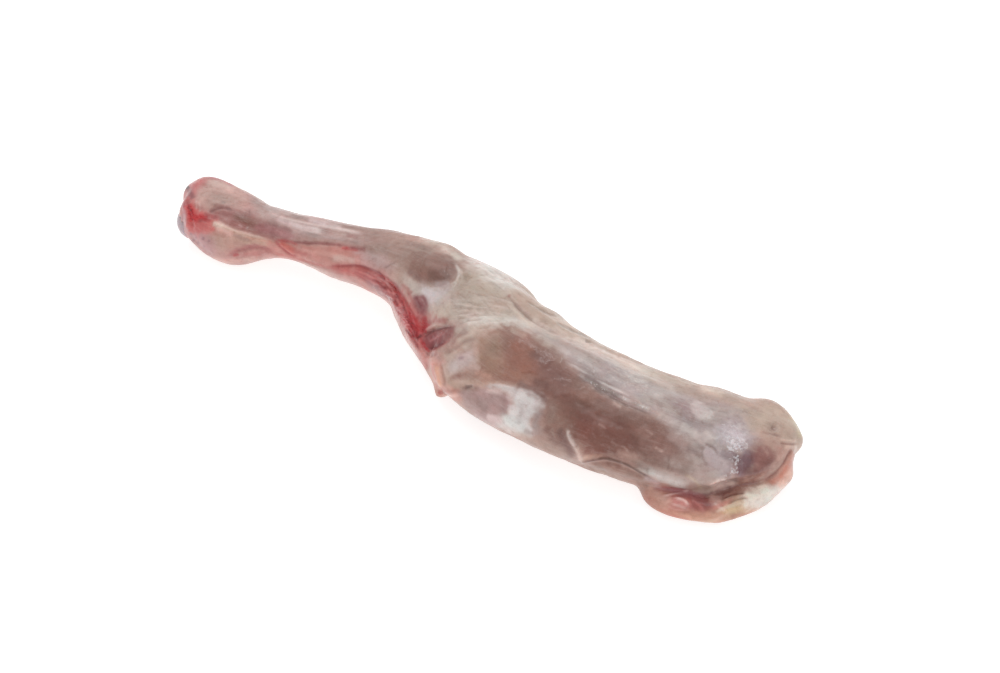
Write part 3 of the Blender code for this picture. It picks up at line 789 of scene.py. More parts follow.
# %% Colours of the shank
SHANK_AREAS = {
    "tendon side": ((178, 151, 146), 0.95, 3, (250, 196), (300, 206), (400, 224), (440, 240), (400, 252),
        (345, 244), (280, 238), (262, 222)),
    "brownish top": ((164, 136, 127), 0.8, 4, (330, 220), (400, 226), (440, 240), (430, 250), (380, 242),
        (340, 234)),
    "rosy side": ((192, 138, 130), 0.95, 2, (270, 241), (300, 246), (350, 248), (372, 258), (385, 276),
        (345, 268), (300, 262), (274, 254)),
    "pale lower edge": ((196, 158, 153), 0.85, 2, (266, 254), (300, 262), (345, 274), (378, 290),
        (360, 300), (270, 268)),
    "lilac membrane": ((188, 166, 164), 0.85, 3, (356, 250), (376, 250), (398, 256), (404, 268), (388, 270),
        (366, 262)),
}
colour_areas(SHANK_AREAS)
SHANK_LINES = {
    "white streak": ((210, 192, 188), 0.85, 0.8, (272, 215), (300, 222), (330, 227), (362, 233)),
    "second white streak": ((202, 182, 178), 0.75, 0.9, (286, 229), (312, 235), (345, 240)),
    "third white streak": ((204, 186, 183), 0.7, 1.0, (262, 205), (284, 212), (310, 216)),
    "fourth white streak": ((204, 184, 180), 0.7, 0.7, (296, 214), (326, 220), (366, 226)),
    "grey streak": ((140, 116, 112), 0.5, 0.9, (266, 212), (284, 220), (300, 225), (330, 232)),
    "second grey streak": ((142, 116, 112), 0.5, 0.9, (300, 232), (330, 238), (360, 243)),
    "third grey streak": ((146, 122, 117), 0.5, 0.8, (290, 215), (320, 223), (356, 229)),
    "dark pink line": ((148, 94, 92), 0.75, 1.0, (270, 237), (290, 242), (318, 243), (350, 246)),
    "muscle by the knuckle": ((152, 104, 103), 0.85, 3.2, (256, 225), (274, 231), (292, 237)),
    "slip of muscle": ((192, 108, 98), 0.85, 1.7, (279, 243), (287, 247), (295, 252)),
    "slip edge": ((164, 66, 66), 0.85, 0.7, (275, 241), (282, 248), (290, 254), (297, 256)),
    "slip upper edge": ((176, 84, 82), 0.7, 0.7, (277, 240), (288, 241), (298, 245)),
    "red fleck": ((182, 78, 80), 0.7, 1.1, (341, 248), (350, 248.5), (359, 250)),
    "dark red fleck": ((150, 86, 84), 0.4, 0.8, (346, 235), (358, 238)),
    "pink line": ((208, 162, 153), 0.6, 1.2, (300, 250), (330, 254), (350, 258)),
    "pale oval": ((208, 178, 170), 0.7, 1.8, (332, 258), (345, 259), (356, 261)),
    "dark red crease": ((146, 50, 54), 0.65, 0.8, (330, 266), (345, 266), (360, 266), (372, 270),
        (386, 279)),
    "red under the crease": ((188, 98, 95), 0.8, 2.2, (330, 268), (350, 271), (372, 279), (388, 290)),
    "red line low": ((182, 104, 100), 0.6, 0.8, (274, 253), (300, 260), (326, 267), (346, 272)),
    "white lower line": ((216, 192, 186), 0.7, 0.9, (280, 258), (306, 266), (334, 276)),
    "second white lower line": ((210, 184, 180), 0.7, 1.2, (330, 277), (352, 286), (374, 294)),
    "thin dark crease": ((136, 116, 112), 0.6, 0.5, (385, 268), (390, 265), (396, 262)),
    "grey above the membrane": ((150, 124, 117), 0.7, 2.4, (362, 245), (384, 250), (404, 256)),
}
colour_lines(SHANK_LINES)
coat("blood", [
    (0.3, 1.5, (276, 241), (290, 250)),
    (0.35, 1.2, (341, 248), (359, 250)),
    (0.3, 2, (345, 271), (386, 287)),
])
coat("film", [
    (0.7, 5, (270, 212), (310, 224), (360, 234)),
    (0.05, 5, (280, 250), (330, 258), (372, 270)),
])
coat("wet", [(0.8, 3, (285, 240), (345, 247), (396, 262)), (0.9, 4, (300, 256), (350, 268))])

# %% [markdown]
# ### The forearm and the elbow
#
# The belly of the muscle shows dark through thin fascia. Around it the fascia is white and knotted, and
# down the elbow's edge runs the brightest blood of the whole cut.

# %% Colours of the forearm and the elbow
ELBOW_AREAS = {
    "forearm": ((180, 156, 146), 0.9, 4, (400, 232), (440, 238), (470, 262), (462, 290), (424, 292),
        (396, 270), (388, 246)),
    "fascia round the belly": ((190, 177, 170), 0.85, 3, (406, 276), (430, 288), (456, 284), (470, 262),
        (480, 280), (464, 306), (430, 316), (408, 296)),
    "brown left of the belly": ((152, 123, 113), 0.85, 4, (372, 241), (400, 243), (418, 250), (418, 270),
        (404, 268), (392, 256), (370, 250)),
    "belly": ((140, 106, 96), 0.97, 2.6, (412, 256), (424, 251), (442, 254), (460, 264), (456, 276),
        (440, 284), (422, 281), (412, 270)),
    "lilac membrane": ((203, 193, 195), 0.9, 2.5, (422, 286), (436, 289), (450, 287), (454, 298),
        (440, 305), (428, 302)),
    "olive tan": ((172, 151, 132), 0.7, 4, (466, 272), (490, 280), (500, 300), (480, 306), (464, 296)),
    "rosy elbow": ((192, 126, 121), 0.95, 1.8, (350, 270), (376, 274), (394, 284), (408, 302), (420, 316),
        (432, 322), (430, 345), (434, 362), (420, 368), (396, 330), (372, 300)),
    "crimson": ((166, 62, 64), 0.85, 3, (392, 286), (402, 292), (412, 308), (428, 316), (428, 330),
        (420, 346), (408, 336), (398, 312)),
    "pale foot of the elbow": ((198, 148, 142), 0.9, 2, (412, 346), (422, 350), (434, 352), (444, 360),
        (440, 366), (426, 366), (414, 356)),
    "pocket": ((146, 84, 84), 0.97, 1.3, (423, 342), (432, 333), (442, 329), (453, 327), (451, 336),
        (441, 345), (428, 350)),
    "cords by the pocket": ((180, 156, 144), 0.85, 3, (450, 334), (470, 326), (480, 336), (466, 350),
        (444, 358), (444, 347)),
    "film over the corner": ((200, 186, 184), 0.85, 2.4, (448, 364), (458, 355), (474, 351), (478, 362),
        (464, 369), (450, 374)),
    "rose lens": ((164, 132, 121), 0.85, 1.8, (452, 379), (462, 372), (478, 371), (486, 378), (466, 381)),
    "tan facet": ((184, 156, 142), 0.9, 1.6, (446, 376), (456, 381), (470, 381), (466, 389), (446, 394)),
    "corner": ((198, 152, 140), 0.9, 1.5, (430, 360), (440, 362), (446, 384), (462, 393), (462, 402),
        (434, 402)),
}
colour_areas(ELBOW_AREAS)
BLOOD_TOP = ((356, 266), (370, 269), (384, 276), (396, 286), (405, 300), (414, 314), (424, 320))
BLOOD_BOTTOM = ((352, 276), (366, 286), (382, 298), (393, 312), (402, 330), (412, 348), (421, 358))
BLOOD_STREAKS = (
    (0.0, 0.6, (138, 44, 48)),
    (0.14, 0.8, (178, 84, 82)),
    (0.28, 0.5, (142, 40, 44)),
    (0.4, 0.7, (196, 120, 116)),
    (0.52, 0.6, (154, 40, 46)),
    (0.62, 0.6, (188, 104, 100)),
    (0.74, 0.6, (152, 50, 54)),
    (0.86, 0.8, (190, 130, 124)),
    (0.97, 1.0, (204, 164, 158)),
)
streaks_of_blood = {}
for share, reach, shade in BLOOD_STREAKS:
    path = [tuple(end) for end in np.array(BLOOD_TOP) * (1 - share) + np.array(BLOOD_BOTTOM) * share]
    streaks_of_blood[f"streak at {share}"] = (shade, 0.6, reach, *path)
colour_lines(streaks_of_blood)
# Painted light and shade on the blood's wrinkles: pale pink along the raised ones, and dark red in the
# pressed ones, partly blood and partly painted shade.
wrinkle_light_and_shade = {}
for row, (height, reach, *path) in enumerate(wrinkles_of_blood.values()):
    shade = (206, 140, 136) if height > 0 else (126, 26, 34)
    wrinkle_light_and_shade[f"wrinkle {row}"] = (shade, 0.65, 0.55, *path)
colour_lines(wrinkle_light_and_shade)
ELBOW_LINES = {
    "cream top edge": ((200, 183, 172), 0.85, 1.8, (418, 240), (434, 242), (450, 250), (462, 262)),
    "pink band": ((196, 160, 151), 0.6, 1.5, (404, 237), (418, 240), (430, 245)),
    "brown seam": ((146, 118, 110), 0.6, 1.3, (405, 242), (414, 244), (424, 247), (433, 250)),
    "dark of the belly": ((124, 93, 84), 0.8, 3.0, (428, 274), (438, 276), (449, 272)),
    "belly sheen": ((156, 126, 116), 0.3, 2.0, (420, 258), (434, 258), (446, 262)),
    "white cord": ((216, 206, 200), 0.8, 0.7, (455, 264), (459, 271), (457, 280), (452, 288)),
    "second white cord": ((208, 198, 190), 0.7, 0.6, (461, 269), (462, 277), (460, 287)),
    "cross cord": ((208, 198, 190), 0.6, 0.6, (450, 284), (459, 281), (466, 284)),
    "olive hollow": ((144, 126, 110), 0.75, 1.6, (465, 273), (468, 278), (466, 283)),
    "clot": ((130, 80, 82), 0.85, 1.2, (415, 296), (417, 300), (419, 305)),
    "lower clot": ((122, 66, 72), 0.85, 1.1, (420, 303), (422, 308), (423, 312)),
    "second clot": ((132, 84, 86), 0.7, 0.8, (422, 295), (425, 300), (426, 306)),
    "blood by the clots": ((168, 84, 84), 0.6, 0.9, (408, 292), (412, 300), (416, 310)),
    "pale between the clots": ((190, 148, 146), 0.6, 0.6, (419, 296), (422, 303), (422, 310)),
    "rose under the clots": ((186, 128, 126), 0.7, 2.4, (420, 314), (430, 318), (442, 321)),
    "blood core": ((132, 24, 32), 0.8, 1.8, (408, 314), (412, 325), (416, 338)),
    "second blood core": ((140, 26, 34), 0.8, 1.3, (424, 315), (426, 323), (423, 333)),
    "dark corner of the blood": ((96, 20, 26), 0.8, 1.1, (414, 334), (418, 337), (423, 334)),
    "blood between": ((176, 52, 56), 0.75, 1.4, (412, 314), (417, 324), (419, 334)),
    "pocket rim": ((140, 84, 80), 0.75, 0.6, (422, 336), (430, 331), (440, 328), (452, 326)),
    "pale pocket lip": ((200, 164, 160), 0.75, 0.8, (426, 330), (436, 325), (448, 322)),
    "pocket shine": ((186, 132, 130), 0.3, 0.7, (431, 339), (438, 336), (444, 333)),
    "red of the pocket": ((170, 48, 54), 0.8, 1.2, (422, 340), (426, 347), (430, 351)),
    "rim below the pocket": ((168, 110, 106), 0.7, 1.0, (430, 350), (438, 346), (448, 340), (452, 332)),
    "dark between the cords": ((154, 126, 118), 0.5, 1.0, (444, 354), (453, 349), (464, 342), (476, 338)),
    "pale cord": ((200, 182, 171), 0.6, 1.0, (442, 351), (452, 345), (463, 338), (474, 333)),
    "second pale cord": ((198, 178, 166), 0.5, 0.9, (450, 357), (458, 352), (467, 346)),
    "lilac mark": ((160, 136, 138), 0.6, 0.9, (458, 359), (464, 357)),
    "elbow rim": ((196, 136, 130), 0.7, 1.0, (419, 350), (424, 358), (430, 361)),
    "neck over the strip": ((176, 142, 133), 0.8, 1.6, (430, 352), (437, 355), (444, 360)),
    "cream strip": ((214, 168, 146), 0.8, 0.8, (437, 366), (439, 377), (441, 388)),
    "line beside the strip": ((158, 118, 104), 0.6, 0.7, (441, 363), (443, 374), (445, 386)),
    "pink strip edge": ((196, 122, 114), 0.8, 0.8, (432, 361), (434, 374), (438, 390)),
    "red corner": ((190, 98, 94), 0.7, 0.9, (439, 392), (443, 390)),
    "bottom fold": ((214, 178, 167), 0.8, 0.9, (440, 396), (450, 396), (459, 395)),
    "rose over the fold": ((186, 138, 128), 0.6, 1.0, (444, 391), (452, 391), (460, 390)),
    # Painted shadow in the notch under the edge of the brown muscle.
    "painted shadow in the notch": ((112, 82, 74), 0.75, 0.7, (464, 388), (468, 387), (472, 386)),
}
colour_lines(ELBOW_LINES)
coat("blood", [
    (0.3, 3.5, (366, 274), (382, 284), (394, 296)),
    (0.5, 3.5, (396, 294), (404, 308), (412, 326), (418, 340)),
    (0.9, 2.4, (406, 314), (412, 325), (417, 338)),
    (0.8, 1.8, (424, 316), (425, 325), (421, 335)),
    (0.55, 0.9, (372, 271), (386, 279), (398, 292), (406, 306)),
    (0.7, 1.2, (422, 341), (426, 348), (430, 351)),
])
coat("film", [
    (0.7, 5, (440, 298), (458, 304)),
    (0.05, 6, (376, 280), (400, 312), (414, 344)),
    (0.0, 4, (426, 345), (446, 334)),
    (0.0, 6, (418, 266), (448, 270)),
    (0.7, 3, (454, 364), (472, 357)),
    (0.0, 2.4, (428, 342), (448, 332)),
])
coat("wet", [
    (1.0, 6, (376, 280), (400, 312), (414, 344), (436, 340)),
    (0.6, 6, (420, 264), (448, 270)),
])

# %% [markdown]
# ### The shoulder
#
# White fascia covers the head of the arm and fans out over the neck. Behind it lies the tan roll, and in
# front the brown muscle shows bare.

# %% Colours of the shoulder
SHOULDER_AREAS = {
    "neck": ((190, 174, 162), 0.95, 4, (452, 290), (490, 268), (520, 276), (520, 300), (560, 345),
        (520, 330), (480, 332), (446, 340), (432, 312)),
    "dome": ((206, 200, 193), 0.8, 4, (478, 266), (500, 262), (524, 280), (530, 294), (512, 290),
        (486, 278)),
    "roll": ((186, 166, 152), 0.95, 2.5, (512, 292), (532, 292), (560, 306), (600, 336), (660, 360),
        (640, 366), (600, 350), (560, 334), (532, 320)),
    "brown muscle": ((150, 110, 96), 0.95, 5, (486, 336), (506, 330), (532, 335), (554, 352), (578, 378),
        (604, 398), (600, 424), (560, 420), (548, 396), (520, 386), (490, 380), (480, 362)),
    "olive side of the muscle": ((158, 132, 114), 0.75, 5, (480, 338), (500, 332), (504, 350), (500, 372),
        (486, 378), (478, 360)),
    "orange heart": ((160, 109, 88), 0.7, 7, (514, 340), (528, 344), (540, 358), (534, 372), (516, 374),
        (508, 358)),
    "dark of the heart": ((132, 92, 80), 0.8, 6, (548, 356), (566, 368), (572, 384), (556, 386),
        (542, 374)),
    "dark muscle": ((124, 90, 80), 0.95, 6, (546, 376), (574, 378), (610, 397), (656, 417), (690, 430),
        (694, 458), (660, 462), (604, 450), (568, 432), (550, 410), (540, 392)),
    "reddish muscle": ((140, 96, 85), 0.7, 6, (566, 412), (600, 424), (630, 442), (620, 454), (590, 448),
        (572, 434)),
    "muscle before the patch": ((152, 118, 107), 0.8, 5, (546, 400), (562, 412), (572, 436), (560, 444),
        (544, 428)),
    "rosy veil of the muscle": ((158, 126, 118), 0.6, 5, (640, 430), (664, 440), (680, 462), (660, 466),
        (644, 452)),
    "lower front": ((174, 146, 135), 0.95, 4, (530, 434), (556, 440), (580, 462), (620, 474), (640, 488),
        (580, 482), (520, 452)),
    "facet": ((170, 142, 139), 0.95, 2, (460, 391), (478, 389), (500, 390), (511, 400), (507, 414),
        (494, 424), (470, 414)),
    "arm of the white patch": ((206, 200, 197), 0.9, 1.6, (490, 385), (504, 384), (522, 387), (534, 393),
        (520, 400), (506, 393)),
    "white patch": ((211, 207, 205), 0.95, 2.2, (511, 394), (524, 390), (539, 396), (544, 405), (536, 413),
        (530, 420), (532, 434), (514, 432), (495, 425), (506, 414), (512, 404)),
}
colour_areas(SHOULDER_AREAS)
SHOULDER_LINES = {
    "white ridge": ((212, 204, 198), 0.8, 2.4, (454, 328), (470, 322), (490, 319), (512, 321), (534, 329),
        (552, 340)),
    "ridge beside the muscle": ((196, 182, 172), 0.7, 2.4, (534, 332), (554, 346), (572, 362)),
    "cream of the roll": ((202, 183, 168), 0.7, 2.0, (530, 303), (552, 315), (580, 334)),
    "pale fascia fan": ((210, 200, 194), 0.7, 3.0, (452, 300), (474, 298), (494, 304)),
    "second pale fan": ((204, 192, 183), 0.5, 2.4, (448, 314), (474, 310), (500, 314)),
    "tan between": ((176, 155, 140), 0.5, 2.4, (462, 308), (484, 306), (504, 312)),
    "rose under the fan": ((188, 154, 145), 0.6, 2.4, (436, 322), (452, 323), (468, 327)),
    "dome line": ((218, 210, 204), 0.7, 0.7, (494, 281), (500, 285), (506, 290)),
    "roll seam": ((132, 108, 96), 0.7, 0.7, (509, 297), (516, 305), (526, 315), (537, 323), (551, 330),
        (572, 337)),
    "red point": ((150, 84, 74), 0.8, 0.8, (508, 295), (510, 297)),
    "ridge beside the seam": ((212, 196, 183), 0.75, 0.9, (508, 302), (520, 317), (534, 328), (550, 335),
        (566, 340)),
    "inner line": ((150, 128, 114), 0.6, 0.7, (526, 300), (541, 310), (557, 317)),
    "outer line": ((142, 120, 108), 0.6, 0.7, (556, 322), (574, 331), (588, 337)),
    "notch": ((110, 86, 78), 0.75, 0.8, (585, 341), (591, 342)),
    "border line": ((142, 122, 112), 0.6, 0.7, (592, 344), (612, 353), (640, 364), (672, 376)),
    "muscle edge light": ((182, 150, 134), 0.6, 0.8, (480, 383), (496, 382), (516, 385), (534, 390)),
    "pink glint": ((222, 200, 196), 0.8, 0.7, (488, 390), (494, 390)),
    "dark right of the facet": ((150, 122, 119), 0.7, 1.6, (500, 396), (506, 404), (503, 414)),
    "pale lower facet": ((196, 176, 174), 0.7, 1.4, (472, 414), (484, 421), (498, 426)),
    "dark under the facet": ((158, 128, 123), 0.6, 1.8, (466, 395), (476, 401), (486, 411)),
    "patch shade": ((182, 176, 174), 0.5, 1.8, (520, 402), (522, 412), (516, 424)),
    "patch bright": ((214, 210, 208), 0.6, 2.0, (530, 400), (528, 412), (522, 426)),
    "bluish rim": ((160, 150, 150), 0.5, 1.2, (541, 411), (536, 419), (534, 430)),
    "grey beside the patch": ((146, 122, 113), 0.6, 2.4, (546, 424), (552, 410), (552, 398)),
    "speck by the patch": ((208, 200, 196), 0.7, 0.7, (538, 392), (544, 394)),
    "lower grey": ((158, 134, 126), 0.6, 3, (540, 430), (556, 442), (574, 454)),
}
colour_lines(SHOULDER_LINES)
# Painted light and shade on the neck's wrinkles: pale along the raised ones, darker in the pressed ones.
wrinkle_light_and_shade = {}
for name, (height, reach, *path) in wrinkles.items():
    shade = (218, 208, 201) if height > 0 else (162, 140, 127)
    wrinkle_light_and_shade[name] = (shade, 0.4, reach + 0.1, *path)
colour_lines(wrinkle_light_and_shade)
coat("film", [
    (0.7, 5, (450, 304), (500, 306), (520, 316)),
    (0.6, 3, (452, 328), (490, 320), (556, 342)),
    (0.5, 6, (484, 270), (520, 286)),
    (0.0, 9, (504, 352), (550, 384), (600, 414), (650, 440)),
    (0.15, 5, (516, 396), (524, 424)),
    (0.1, 4, (476, 398), (498, 408)),
])
coat("wet", [
    (0.25, 9, (500, 350), (560, 380), (610, 402), (660, 424)),
    (0.6, 5, (570, 416), (610, 438), (650, 446)),
    (0.7, 4, (476, 398), (498, 408)),
])

# %% [markdown]
# ### The blade and its end
#
# The ridge and all above it lie under pale, slightly dry fascia. Towards the end it is crazed like frost,
# and below the tip a bruise shows through. Glints on the wet muscle, a highlight along the ridge and on the
# bruise, and the shade under the front lip are painted.

# %% Colours of the blade
BLADE_AREAS = {
    "film of the ridge": ((178, 164, 160), 0.95, 4, (536, 328), (570, 342), (620, 360), (700, 386),
        (752, 406), (748, 440), (706, 472), (686, 456), (690, 432), (650, 411), (600, 388), (576, 371),
        (554, 348)),
    "upper border": ((188, 167, 154), 0.9, 4, (590, 336), (660, 362), (740, 390), (780, 400), (764, 414),
        (700, 394), (640, 374), (600, 354)),
    "lilac by the oval": ((160, 141, 143), 0.7, 4, (670, 404), (690, 402), (694, 418), (706, 430),
        (690, 434), (672, 420)),
    "pale oval": ((206, 196, 193), 0.85, 1.0, (690, 403), (699, 402), (709, 407), (714, 415), (708, 420),
        (698, 418), (692, 411)),
    "white of the blade": ((202, 191, 187), 0.7, 2.4, (668, 420), (684, 424), (700, 436), (704, 446),
        (692, 444), (676, 436)),
    "frosted": ((196, 184, 187), 0.85, 3, (716, 428), (730, 421), (750, 426), (756, 440), (744, 452),
        (730, 450), (716, 442)),
    "lilac plate": ((184, 170, 172), 0.85, 2, (704, 446), (722, 450), (736, 456), (732, 472), (722, 480),
        (708, 472)),
    "tip": ((190, 168, 155), 0.95, 4, (748, 400), (776, 398), (800, 420), (806, 440), (790, 446),
        (764, 436), (748, 428)),
    "bruise": ((120, 88, 98), 0.9, 2.4, (736, 462), (742, 454), (752, 450), (758, 458), (752, 470),
        (742, 478), (736, 474)),
    "red of the bruise": ((146, 100, 95), 0.9, 3, (752, 446), (768, 446), (780, 454), (774, 468),
        (760, 478), (748, 478), (754, 462)),
    "rosy end": ((180, 146, 136), 0.8, 3, (776, 444), (790, 446), (790, 458), (782, 468), (776, 460)),
    "veil over the front": ((178, 162, 156), 0.85, 4, (684, 450), (704, 460), (722, 478), (706, 490),
        (684, 480), (664, 468)),
}
colour_areas(BLADE_AREAS)
BLADE_LINES = {
    "bright film": ((196, 186, 183), 0.7, 2.0, (560, 348), (586, 363), (616, 382), (650, 400)),
    "second bright film": ((194, 184, 182), 0.6, 1.8, (600, 360), (632, 376), (672, 392), (700, 402)),
    "grey of the film": ((156, 140, 138), 0.6, 2.4, (566, 356), (590, 372), (620, 388)),
    "cream streak": ((202, 186, 172), 0.6, 1.8, (616, 362), (650, 374), (690, 386)),
    "tan by the border": ((178, 158, 146), 0.6, 2.0, (640, 376), (676, 388), (712, 400)),
    "grey line of the ridge": ((122, 100, 93), 0.7, 0.9, (574, 375), (588, 384), (604, 394), (626, 405),
        (654, 415)),
    # White film along the ridge, with a painted highlight on it.
    "white film with a painted highlight": ((218, 210, 206), 0.85, 0.7, (578, 374), (590, 381), (606, 390), (630, 401),
        (656, 412)),
    "second white line": ((214, 206, 203), 0.7, 0.5, (596, 380), (612, 388), (630, 396)),
    "third white line": ((212, 204, 201), 0.6, 0.5, (566, 362), (580, 370), (594, 377)),
    "white under the film": ((196, 184, 180), 0.6, 1.4, (650, 412), (672, 422), (700, 444)),
    "brown streak in the film": ((158, 138, 131), 0.5, 2.2, (640, 394), (664, 405), (684, 416)),
    "shade under the oval": ((160, 142, 140), 0.6, 1.4, (692, 418), (702, 424), (716, 424)),
    "grey between": ((156, 138, 134), 0.6, 3, (672, 426), (690, 434), (706, 446)),
    "light of the frost": ((208, 200, 204), 0.7, 2.2, (722, 434), (734, 434), (746, 438)),
    "crack in the fascia": ((146, 126, 120), 0.7, 0.7, (700, 438), (706, 444), (714, 448), (718, 456)),
    "second crack in the fascia": ((150, 130, 124), 0.6, 0.7, (704, 446), (702, 456), (708, 466)),
    # The first streak on the bruise is a painted highlight.
    "streak on the bruise": ((186, 152, 144), 0.6, 0.9, (762, 446), (766, 451), (769, 456)),
    "second streak on the bruise": ((178, 136, 128), 0.6, 0.7, (756, 462), (760, 470), (762, 476)),
    "brown of the far muscle": ((140, 104, 94), 0.6, 3.5, (648, 424), (658, 436), (660, 450)),
    "dark bit of the frost": ((146, 124, 130), 0.6, 1.0, (728, 450), (734, 454), (740, 458)),
    "second dark bit": ((150, 130, 136), 0.5, 0.8, (738, 444), (744, 450)),
    "brown before the veil": ((158, 128, 119), 0.6, 2.4, (662, 446), (678, 456), (692, 466)),
    "dark line of the front": ((132, 104, 96), 0.6, 0.6, (668, 455), (669, 462), (668, 470)),
    "cream line by the strip": ((196, 178, 160), 0.6, 0.8, (684, 474), (694, 480), (702, 489)),
    "silvery strip": ((198, 188, 184), 0.85, 2.0, (636, 464), (658, 474), (690, 486)),
    "light of the strip": ((214, 206, 202), 0.6, 0.9, (644, 470), (664, 478), (686, 485)),
    "brown over the strip": ((142, 114, 105), 0.6, 1.8, (640, 458), (664, 466), (690, 474)),
    "front lip": ((214, 184, 168), 0.85, 1.1, (582, 459), (592, 456), (603, 455)),
    "rosy lip": ((170, 136, 128), 0.7, 0.9, (606, 456), (622, 460), (640, 467)),
    "under the lip": ((144, 110, 97), 0.85, 2.6, (586, 466), (606, 467), (630, 474), (650, 484)),
    # Painted shade under the front lip.
    "painted shade under the lip": ((100, 68, 58), 0.85, 0.7, (582, 461), (592, 460), (604, 458), (614, 460),
        (628, 465), (642, 473), (656, 481)),
    "left of the tag": ((124, 92, 86), 0.8, 2.2, (558, 428), (564, 440), (570, 449), (574, 458)),
    "tag": ((224, 210, 204), 0.9, 0.8, (567, 430), (571, 439), (576, 447)),
    "foot of the tag": ((220, 200, 190), 0.85, 0.9, (576, 446), (579, 454), (582, 461)),
    "small tag": ((198, 178, 168), 0.6, 0.6, (551, 428), (556, 438)),
    "edge of the tip": ((206, 189, 160), 0.8, 1.6, (790, 414), (799, 426), (802, 438)),
    "gristle": ((204, 184, 169), 0.6, 3.0, (762, 410), (780, 414), (792, 428)),
    "crater": ((142, 118, 110), 0.7, 1.1, (771, 427), (776, 430)),
    "pith": ((214, 206, 200), 0.8, 0.5, (774, 428.5), (775, 429)),
    "crater line": ((156, 128, 118), 0.5, 0.7, (762, 432), (772, 434), (782, 437)),
    "tip fold": ((158, 118, 108), 0.6, 0.6, (780, 443), (788, 444), (796, 444)),
    "tip fold light": ((214, 188, 174), 0.7, 0.6, (779, 440), (788, 441), (797, 441)),
    "pale edge above": ((198, 164, 152), 0.6, 1.2, (744, 480), (762, 474), (774, 464), (784, 452)),
}
colour_lines(BLADE_LINES)
# Painted glints: small pale streaks where the wet muscle shines, each with a soft brown veil round it.
PAINTED_GLINTS = ((586, 384), (601, 392), (613, 402), (652, 411), (598, 424),
          (611, 441), (620, 446), (645, 430), (655, 447), (634, 400))
painted_glints = {}
for index, (x, y) in enumerate(PAINTED_GLINTS):
    width = 0.45 + 0.1 * (index % 3)
    path = ((x, y), (x + 4, y + 1 + index % 3), (x + 8, y + 5))
    painted_glints[f"fleck {index}"] = ((208, 184, 176), 0.7, width, *path)
    painted_glints[f"veil by fleck {index}"] = ((162, 128, 118), 0.35, 2.0, (x - 4, y - 1), (x + 6, y + 6))
colour_lines(painted_glints)
coat("film", [
    (0.7, 8, (580, 356), (650, 392), (700, 412)),
    (0.35, 6, (750, 410), (790, 424)),
    (0.0, 4, (746, 462), (768, 462)),
])
coat("frost", [
    (0.45, 5, (720, 430), (744, 432)),
    (0.75, 4.5, (726, 446), (736, 444), (748, 442)),
    (0.3, 4, (600, 366), (650, 392)),
    (0.75, 2.2, (732, 450), (736, 460), (734, 476)),
    (0.6, 1.8, (726, 474), (724, 482)),
    (0.5, 1.2, (580, 374), (606, 390), (656, 412)),
])
coat("wet", [(0.8, 4, (748, 462), (770, 462)), (0.2, 6, (722, 434), (738, 440), (728, 456))])

# %% [markdown]
# ### The flap
#
# The flap shows the inner side: red meat with a pink lump, an edge of orange fat and, towards the tip,
# fat so thin that it is nearly clear. The shade under the blade, the tip and in the hollow is painted, and
# so are highlights on the lump and along the salmon edge.

# %% Colours of the flap
FLAP_AREAS = {
    "flap": ((188, 138, 123), 0.97, 2, (646, 490), (680, 496), (716, 500), (760, 492), (800, 470),
        (790, 510), (700, 534), (650, 520)),
    "purple under the blade": ((164, 112, 112), 0.9, 1.2, (656, 487), (672, 486), (690, 489), (690, 493),
        (672, 492), (656, 491)),
    "red meat": ((158, 92, 88), 0.9, 2, (664, 496), (690, 493), (706, 496), (716, 502), (708, 512),
        (688, 510), (664, 504)),
    "pink lump": ((200, 140, 134), 0.85, 1.6, (666, 500), (676, 497), (688, 501), (690, 509), (678, 512),
        (668, 508)),
    "orange edge": ((206, 160, 140), 0.9, 2.4, (664, 512), (690, 514), (722, 511), (730, 516), (716, 526),
        (684, 524)),
    # The hollow's membranes are painted lighter than their own colour: painted light against the hollow's
    # shade.
    "hollow": ((176, 138, 127), 0.9, 2, (712, 494), (724, 488), (744, 485), (754, 488), (740, 500),
        (718, 503)),
    # Painted shade deep in the hollow.
    "painted shade of the hollow": ((122, 84, 80), 0.7, 1.4, (714, 494), (724, 489), (733, 488), (728, 495),
        (718, 499)),
    "yellow fat": ((214, 186, 154), 0.9, 2.4, (722, 508), (736, 500), (752, 498), (756, 508), (730, 516)),
    "clear fat": ((228, 222, 214), 0.95, 2.6, (744, 496), (762, 488), (784, 480), (788, 490), (764, 508),
        (746, 508)),
    "rosy end of the flap": ((198, 144, 130), 0.9, 2, (764, 482), (780, 473), (790, 454), (798, 456),
        (796, 474), (784, 482)),
}
colour_areas(FLAP_AREAS)
